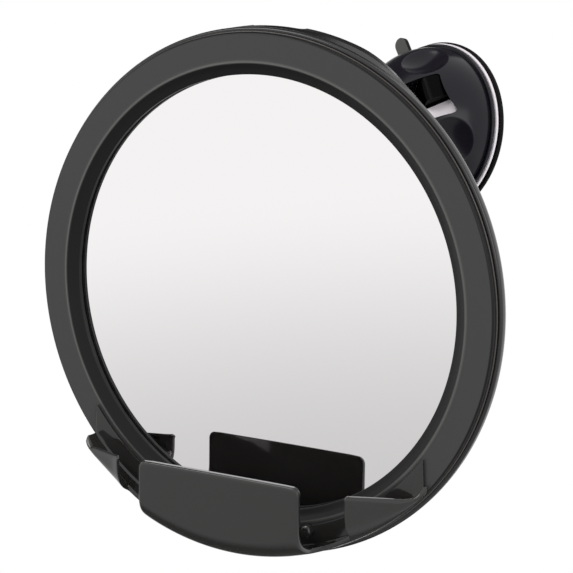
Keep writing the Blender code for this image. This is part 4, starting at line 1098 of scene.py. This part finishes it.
class MIRROR_OT_fork_and_arm(Operator):
    """Mould the swivel fork on the dome and the arm that hangs from its pin"""
    bl_idname = "mirror.fork_and_arm"
    bl_label = "Swivel fork and arm"

    washer_top = 32.7 * mm
    fork_base = 36.3 * mm
    base_radius = 8.0 * mm
    base_thickness = 3.0 * mm
    base_round = 0.8 * mm
    base_sides = 96
    fork_round = 0.4 * mm
    spigot_radius = 4.0 * mm
    ear_inner = 4.6 * mm
    ear_outer = 7.3 * mm
    ear_radius = 5.8 * mm
    ear_steps = 32
    screw_bore = 1.8 * mm
    screw_depth = 4.3 * mm
    pivot_bore = 2.3 * mm
    knuckle_radius = 5.6 * mm
    knuckle_round = 0.5 * mm
    knuckle_sides = 64
    arm_round = 0.6 * mm
    neck_length = 16.0 * mm
    bend_radius = 13.0 * mm
    half_width = 5.8 * mm
    half_thickness = 4.2 * mm
    end_radius = 5.0 * mm
    socket_depth = 9.0 * mm
    stud_bore = 2.5 * mm
    path_steps = 24
    section_sides = 40

    def fork(self):
        top = self.fork_base + self.base_thickness
        corners = [(0, self.washer_top, 0), (self.spigot_radius, self.washer_top, seat_gap)]
        corners += [(self.spigot_radius, self.fork_base, 0), (self.base_radius, self.fork_base, seat_gap)]
        corners += [(self.base_radius, top, self.base_round), (0, top, 0)]
        fork = new_object("swivel_fork_moulding", turned(fillet(corners), self.base_sides), wall_frame)
        low = top - self.base_thickness / 2
        height = -pivot_place.y
        rounding = arc((height, 0), self.ear_radius, -math.pi / 2, math.pi / 2, self.ear_steps)
        outline = [(low, -self.ear_radius), *rounding, (low, self.ear_radius)]
        ears = [prism(outline, self.ear_inner, self.ear_outer, side)]
        ears.append(prism(outline, -self.ear_outer, -self.ear_inner, side))
        combine(fork, joined(ears), "UNION")
        near, far = self.base_radius, 2 * self.base_radius
        band = [(near, self.fork_base), (far, self.fork_base), (far, top), (near, top)]
        combine(fork, turned(band, self.base_sides), "DIFFERENCE")
        soften(fork, self.fork_round)
        reach = self.ear_outer + overrun
        bore(fork, at(0, height, 0) @ aimed((1, 0, 0)), self.pivot_bore, -reach, reach)
        low, high = self.washer_top - overrun, self.washer_top + self.screw_depth
        bore(fork, Matrix.Identity(4), self.screw_bore, low, high, small_bore_sides)
        finish(fork, "dome_gloss", "swivel", "swivel_fork")

    def path(self):
        """The arm's middle line as (height, up), straight down from the pin and then bent out."""
        neck = Vector((-math.cos(head_lean), math.sin(head_lean)))
        start = Vector((-pivot_place.y, 0))
        end = Vector((-ball_centre.y, ball_centre.z)) + neck * self.neck_length
        corner = end + neck * self.bend_radius
        down = (corner - start).normalized()
        tangent = self.bend_radius * math.tan(down.angle(-neck) / 2)
        bend_start, bend_end = corner - down * tangent, corner - neck * tangent
        points = [start + (bend_start - start) * i / self.path_steps for i in range(self.path_steps)]
        for i in range(self.path_steps + 1):
            t = i / self.path_steps
            points.append((1 - t) ** 2 * bend_start + 2 * t * (1 - t) * corner + t * t * bend_end)
        return points + [end]

    def swept(self):
        points = self.path()
        count = len(points)
        lengths = [0.0]
        for a, b in zip(points, points[1:]):
            lengths.append(lengths[-1] + (b - a).length)
        verts, faces = [], []
        for i, point in enumerate(points):
            along = (points[min(i + 1, count - 1)] - points[max(i - 1, 0)]).normalized()
            across = Vector((-along.y, along.x))
            share = lengths[i] / lengths[-1]
            belly = math.sin(math.pi * share) ** 2
            narrow = self.ear_inner - 2 * run_gap
            wide = narrow + (self.end_radius - narrow) * share + (self.half_width - self.ear_inner) * belly
            thick = self.half_thickness + (self.end_radius - self.half_thickness) * share
            for k in range(self.section_sides):
                angle = 2 * math.pi * k / self.section_sides
                spot = point + across * thick * math.sin(angle)
                verts.append((wide * math.cos(angle), -spot.x, spot.y))
        n = self.section_sides
        for low in range(0, (count - 1) * n, n):
            for k in range(n):
                ahead = (k + 1) % n
                faces.append((low + k, low + ahead, low + n + ahead, low + n + k))
        return verts, faces + [tuple(range(n)), tuple(range((count - 1) * n, count * n))]

    def arm(self):
        arm = new_object("arm_moulding", self.swept(), wall_frame)
        height = -pivot_place.y
        across = at(0, height, 0) @ aimed((1, 0, 0))
        half = self.ear_inner - run_gap
        knuckle, edge = self.knuckle_radius, self.knuckle_round
        corners = [(0, -half, 0), (knuckle, -half, edge), (knuckle, half, edge), (0, half, 0)]
        combine(arm, moved(turned(fillet(corners), self.knuckle_sides), across), "UNION")
        soften(arm, self.arm_round, angle=50)
        bore(arm, across, self.pivot_bore, -self.ear_outer, self.ear_outer)
        low, high = self.neck_length - seat_gap, self.neck_length + self.socket_depth
        bore(arm, stud_frame, self.stud_bore, low, high)
        finish(arm, "dome_gloss", "arm", "mirror_arm")

    def execute(self, context):
        self.fork()
        self.arm()
        return {"FINISHED"}


class MIRROR_OT_ball_joint(Operator):
    """Turn the steel ball stud, the friction ring, the socket cup and the lobed clamp nut"""
    bl_idname = "mirror.ball_joint"
    bl_label = "Ball joint"

    ball_radius = 8.0 * mm
    neck_radius = 3.0 * mm
    neck_length = 16.0 * mm
    shank_radius = 2.2 * mm
    shank_end = 24.7 * mm
    ring_inner = 8.3 * mm
    ring_outer = 9.8 * mm
    ring_half_angle = math.radians(28)
    seat_radius = 10.1 * mm
    socket_seat = (math.radians(3), math.radians(50))
    nut_seat = (math.radians(5), math.radians(38))
    thread_radius = 12.5 * mm
    flange_radius = 24.0 * mm
    flange_thickness = 2.0 * mm
    floor_thickness = 2.6 * mm
    screw_circle = 20.5 * mm
    screw_hole = 1.6 * mm
    nut_radius = 16.0 * mm
    nut_top = 9.0 * mm
    nut_flare = 10.6 * mm
    nut_wall = 2.0 * mm
    lobes = 12
    lobe_depth = 0.7 * mm
    lobe_share = 0.4
    collar_round = 0.4 * mm
    flange_round = 0.6 * mm
    nut_foot_round = 0.5 * mm
    nut_round = 2.0 * mm
    nut_lip_round = 0.8 * mm
    ball_steps = 40
    seat_steps = 16
    nut_seat_steps = 12
    stud_sides = 72
    ring_sides = 96
    socket_sides = 128
    nut_sides = 360

    def stud(self):
        neck_angle = math.acos(self.neck_radius / self.ball_radius)
        collar = self.neck_length - seat_gap
        ball = arc((0, 0), self.ball_radius, -math.pi / 2, neck_angle, self.ball_steps)[1:]
        corners = [(0, -self.ball_radius, 0), *[(r, h, 0) for r, h in ball]]
        corners += [(self.neck_radius, collar, self.collar_round), (self.shank_radius, collar, 0)]
        corners += [(self.shank_radius, self.shank_end, seat_gap), (0, self.shank_end, 0)]
        stud = new_object("ball_stud_steel", turned(fillet(corners), self.stud_sides), stud_frame)
        finish(stud, "steel", "arm", "ball_stud")

    def friction_ring(self):
        half = self.ring_half_angle
        outline = arc((0, 0), self.ring_inner, half, -half, self.seat_steps)
        outline += arc((0, 0), self.ring_outer, -half, half, self.seat_steps)
        ring = new_object("friction_ring_nylon", turned(outline, self.ring_sides), ball_frame)
        finish(ring, "nylon", "grip_ring", "friction_ring")

    def socket(self, head):
        front = -head.shell_depth - seat_gap
        back = front - self.flange_thickness
        seat = arc((0, -head.ball_depth), self.seat_radius, *self.socket_seat, self.seat_steps)
        floor = seat[-1][1] + self.floor_thickness
        thread, flange = self.thread_radius, self.flange_radius
        corners = [(seat[-1][0], floor, 0), (thread, floor, seat_gap), (thread, front, 0)]
        corners += [(flange, front, seat_gap), (flange, back, self.flange_round), (thread, back, seat_gap)]
        corners += [(thread, seat[0][1], seat_gap)]
        corners += [(r, h, 0) for r, h in seat]
        shape = turned(fillet(corners), self.socket_sides)
        socket = new_object("socket_flange", shape, face_frame(head))
        hole = rod(self.screw_hole, back - overrun, front + overrun, small_bore_sides)
        holes = [moved(hole, at(across, 0, up)) for across, up in four_spots(self.screw_circle)]
        combine(socket, joined(holes), "DIFFERENCE")
        finish(socket, "shell_black", "head", "socket_cup")

    def nut(self, head):
        seat = arc((0, 0), self.seat_radius, *self.nut_seat, self.nut_seat_steps)
        seat = [(r, -h, 0) for r, h in seat]
        base = head.ball_depth - head.shell_depth - seat_gap - self.flange_thickness - run_gap
        thread = self.thread_radius + run_gap
        rim = self.nut_radius - self.nut_wall
        corners = [(thread, base, 0), (self.nut_radius, base, self.nut_foot_round)]
        corners += [(self.nut_radius, self.nut_wall - self.nut_top, self.nut_round)]
        corners += [(rim, -self.nut_top, self.nut_round)]
        corners += [(self.nut_flare, -self.nut_top, self.nut_lip_round), *seat[::-1], (thread, seat[0][1], 0)]

        def lobed(radius, height, angle):
            if radius < thread + seat_gap:
                return radius
            hollow = max(math.cos(self.lobes * angle), -self.lobe_share)
            return radius - self.lobe_depth * (self.lobe_share + hollow)

        shape = turned(fillet(corners), self.nut_sides, lobed)
        nut = new_object("clamp_nut_moulding", shape, ball_frame)
        finish(nut, "shell_black", "nut", "clamp_nut")

    def execute(self, context):
        self.stud()
        self.friction_ring()
        self.socket(context.scene.mirror_head)
        self.nut(context.scene.mirror_head)
        return {"FINISHED"}


class MIRROR_OT_screws(Operator):
    """Turn the socket's four cross-head screws and the pivot's bolt"""
    bl_idname = "mirror.screws"
    bl_label = "Screws"

    head_radius = 2.4 * mm
    head_thickness = 1.4 * mm
    shank_radius = 1.3 * mm
    shank_length = 6.0 * mm
    cross_half_width = 0.35 * mm
    cross_reach_share = 0.62
    cross_depth = 0.8 * mm
    circle = 20.5 * mm
    flange_back = -23.3 * mm
    bolt_head_radius = 4.2 * mm
    bolt_head_thickness = 2.4 * mm
    bolt_radius = 2.0 * mm
    head_face = 7.6 * mm
    nut_thickness = 3.0 * mm
    sides = 40

    def cross(self, radius, top, depth):
        """A cross recess sunk from the top of a screw's head."""
        reach, half = radius * self.cross_reach_share, self.cross_half_width * radius / self.head_radius
        outline = [(half, half), (half, reach), (-half, reach), (-half, half)]
        outline += [(-reach, half), (-reach, -half), (-half, -half), (-half, -reach)]
        outline += [(half, -reach), (half, -half), (reach, -half), (reach, half)]
        return prism(outline, top - depth, top + overrun, facing)

    def screw(self, name, place, radius, thickness, shank, reach, body, node):
        corners = [(0, -reach, 0), (shank, -reach, shank / 4), (shank, 0, 0), (radius, 0, thickness / 6)]
        corners += [(radius, thickness, 0.8 * thickness), (0, thickness, 0)]
        screw = new_object(name, turned(fillet(corners), self.sides), place)
        depth = self.cross_depth * thickness / self.head_thickness
        combine(screw, self.cross(radius, thickness, depth), "DIFFERENCE")
        finish(screw, "steel", body, node)

    def execute(self, context):
        place = face_frame(context.scene.mirror_head)
        for i, (across, up) in enumerate(four_spots(self.circle)):
            spot = place @ at(across, self.flange_back - seat_gap, up) @ Matrix.Rotation(math.pi, 4, "X")
            self.screw(
                f"flange_screw_{i + 1}", spot, self.head_radius, self.head_thickness, self.shank_radius,
                self.shank_length, "head", f"socket_screw_{i + 1}")
        across = Matrix.Translation(pivot_place) @ aimed((1, 0, 0))
        nut_end = self.head_face + self.nut_thickness
        self.screw(
            "pivot_bolt_steel", across @ at(0, self.head_face, 0), self.bolt_head_radius,
            self.bolt_head_thickness, self.bolt_radius, self.head_face + nut_end, "swivel", "pivot_bolt")
        return {"FINISHED"}


class MIRROR_OT_studio(Operator):
    """Set the pale floor, the soft lamps, the white world and the camera"""
    bl_idname = "mirror.studio"
    bl_label = "Studio"

    camera_place = Vector((669.7, -707.3, -46.1)) * mm
    camera_back = Vector((0.7273, -0.6858, 0.0264))
    camera_right = Vector((0.6793, 0.7248, 0.1153))
    camera_lens = 146.4
    camera_sensor = 36
    lamps = (
        ("Key softbox", (-0.5, -1.3, 0.9), (1.0, 0.8), 9), ("Fill softbox", (1.4, -0.5, 0.3), (0.9, 0.9), 5))
    lamp_aim = (0, -0.1, -0.07)
    world_share = 0.7
    floor_place = (0, -0.1, -0.40)
    floor_radius = 3.0
    floor_thickness = 10 * mm
    floor_sides = 96
    shade_near = 0.42
    shade_far = 1.05
    shade_share = 0.66
    white_near = 0.5
    white_far = 1.2
    # Painted shadow: a dark oval on the floor under the mirror, seen only by polished surfaces.
    painted_shadow_centre = (-0.2, 0.0, 0.22)
    painted_shadow_reach = (0.22, 1.0, 0.37)
    painted_shadow_border = (0.85, 1.5)
    painted_shadow_share = 0.12
    flag_border = (0.7, 1.0)
    flag_share = 0.05
    flag_corners = ((-0.6, -0.95, 0.1), (-0.6, 1.45, 0.1), (-0.6, 1.45, 1.8), (-0.6, -0.95, 1.8))

    def floor(self, hex_colour):
        """A pale floor with painted shade, darkest under the mirror, that fades into the white of the studio.

        Polished surfaces see it glow as painted light, apart from a painted shadow: a dark oval that the tray's
        underside reflects.
        """
        place = Matrix.Translation(self.floor_place) @ Matrix.Rotation(-math.pi / 2, 4, "X")
        disc = rod(self.floor_radius, 0, -self.floor_thickness, self.floor_sides)
        floor = new_object("studio_floor", disc, place)
        material, shader = new_material("Pale studio floor", hex_colour, roughness=0.7)
        # The floor's glow for polished surfaces is painted light, with painted shade near the mirror and the
        # painted shadow oval.
        painted_floor_shade = falloff(material, (0, 0, 0), (1, 1, 1), self.shade_near, self.shade_far, self.shade_share)
        shade = falloff(material, self.painted_shadow_centre, self.painted_shadow_reach, *self.painted_shadow_border, self.painted_shadow_share)
        far = falloff(material, (0, 0, 0), (1, 1, 1), self.white_near, self.white_far, 0.0)
        rays = add_node(material, "ShaderNodeLightPath").outputs
        shade = add_node(material, "ShaderNodeMath", {
            0: shade, 1: rays["Is Camera Ray"]}, operation="MAXIMUM")
        strength = add_node(material, "ShaderNodeMath", {0: painted_floor_shade, 1: shade}, operation="MULTIPLY")
        white = add_node(material, "ShaderNodeEmission", {"Strength": strength})
        seen = add_node(material, "ShaderNodeMath", {0: rays["Is Camera Ray"], 1: far}, operation="MULTIPLY")
        shown = add_node(material, "ShaderNodeMath", {
            0: seen, 1: rays["Is Glossy Ray"]}, operation="MAXIMUM")
        mix = add_node(material, "ShaderNodeMixShader", {"Fac": shown, 1: shader, 2: white})
        plug(material, mix, material.node_tree.nodes["Material Output"].inputs["Surface"])
        floor.data.materials.append(material)

    def flag(self):
        """A soft dark card at the left that only polished surfaces see, such as the dome's top."""
        middle = (Vector(self.flag_corners[0]) + Vector(self.flag_corners[2])) / 2
        # The card has no thickness, so its reach across is one metre and never counts
        reach = Vector(self.flag_corners[2]) - middle + Vector((1, 0, 0))
        material, _ = new_material("Soft dark card", "020202")
        share = falloff(material, middle, reach, *self.flag_border, self.flag_share)
        glow = add_node(material, "ShaderNodeEmission", {"Strength": share})
        plug(material, glow, material.node_tree.nodes["Material Output"].inputs["Surface"])
        flag = new_object("studio_flag", (self.flag_corners, [(0, 1, 2, 3)]), Matrix.Identity(4))
        flag.data.materials.append(material)
        for ray in ("camera", "diffuse", "shadow", "transmission", "volume_scatter"):
            setattr(flag, "visible_" + ray, False)

    def lamp(self, name, place, size, power):
        light = bpy.data.lights.new(name, "AREA")
        light.shape = "RECTANGLE"
        light.size, light.size_y = size
        light.energy = power
        holder = bpy.data.objects.new(name, light)
        bpy.context.collection.objects.link(holder)
        holder.location = place
        holder.rotation_euler = (Vector(self.lamp_aim) - Vector(place)).to_track_quat("-Z", "Y").to_euler()

    def world(self):
        """White where the camera and polished surfaces look, a softer white for lighting."""
        world = bpy.data.worlds.new("White studio")
        world.use_nodes = True
        bpy.context.scene.world = world
        rays = add_node(world, "ShaderNodeLightPath").outputs
        seen = add_node(world, "ShaderNodeMath", {
            0: rays["Is Camera Ray"], 1: rays["Is Glossy Ray"]}, operation="MAXIMUM")
        shown = add_node(world, "ShaderNodeMath", {
            0: seen, 1: rays["Is Transmission Ray"]}, operation="MAXIMUM")
        strength = add_node(world, "ShaderNodeMapRange", {
            "Value": shown, "To Min": self.world_share, "To Max": 1.0})
        background = world.node_tree.nodes["Background"]
        background.inputs["Color"].default_value = (1, 1, 1, 1)
        plug(world, strength, background.inputs["Strength"])

    def camera(self):
        data = bpy.data.cameras.new("Photograph")
        data.sensor_width = self.camera_sensor
        data.lens = self.camera_lens
        camera = bpy.data.objects.new("Photograph", data)
        bpy.context.collection.objects.link(camera)
        back = self.camera_back.normalized()
        up = back.cross(self.camera_right).normalized()
        turn = Matrix((up.cross(back), up, back)).transposed().to_4x4()
        camera.matrix_world = Matrix.Translation(self.camera_place) @ turn
        bpy.context.scene.camera = camera

    def execute(self, context):
        context.scene.view_settings.view_transform = "Standard"
        self.floor(context.scene.mirror_colours.floor)
        self.flag()
        for name, place, size, power in self.lamps:
            self.lamp(name, place, size, power)
        self.world()
        self.camera()
        return {"FINISHED"}


class MIRROR_PT_panel(Panel):
    """Lists the mirror's pieces, sizes and colours in the 3D view's sidebar"""
    bl_label = "Shower mirror"
    bl_idname = "MIRROR_PT_panel"
    bl_space_type = "VIEW_3D"
    bl_region_type = "UI"
    bl_category = "Shower mirror"

    def draw(self, context):
        for operator in operators:
            self.layout.operator(operator.bl_idname)
        for name in groups:
            sizes = getattr(context.scene, name)
            box = self.layout.box()
            box.label(text=name.replace("_", " ").capitalize())
            for key in sizes.bl_rna.properties.keys():
                if key not in ("rna_type", "name"):
                    box.prop(sizes, key)


groups = {
    "mirror_head": HeadSizes, "mirror_tray": TraySizes, "mirror_cup": CupSizes, "mirror_colours": Colours}
operators = [
    MIRROR_OT_studio, MIRROR_OT_finishes, MIRROR_OT_front_ring, MIRROR_OT_back_shell, MIRROR_OT_glass,
    MIRROR_OT_razor_tray, MIRROR_OT_suction_pad, MIRROR_OT_cup_cover, MIRROR_OT_lock_lever,
    MIRROR_OT_fork_and_arm, MIRROR_OT_ball_joint, MIRROR_OT_screws,
]


def register():
    for kind in [*groups.values(), *operators, MIRROR_PT_panel]:
        bpy.utils.register_class(kind)
    for name, kind in groups.items():
        setattr(bpy.types.Scene, name, PointerProperty(type=kind))


def unregister():
    for name in groups:
        delattr(bpy.types.Scene, name)
    for kind in [MIRROR_PT_panel, *reversed(operators), *groups.values()]:
        bpy.utils.unregister_class(kind)


def main():
    register()
    for operator in operators:
        group, name = operator.bl_idname.split(".")
        getattr(getattr(bpy.ops, group), name)()


if __name__ == "__main__":
    main()
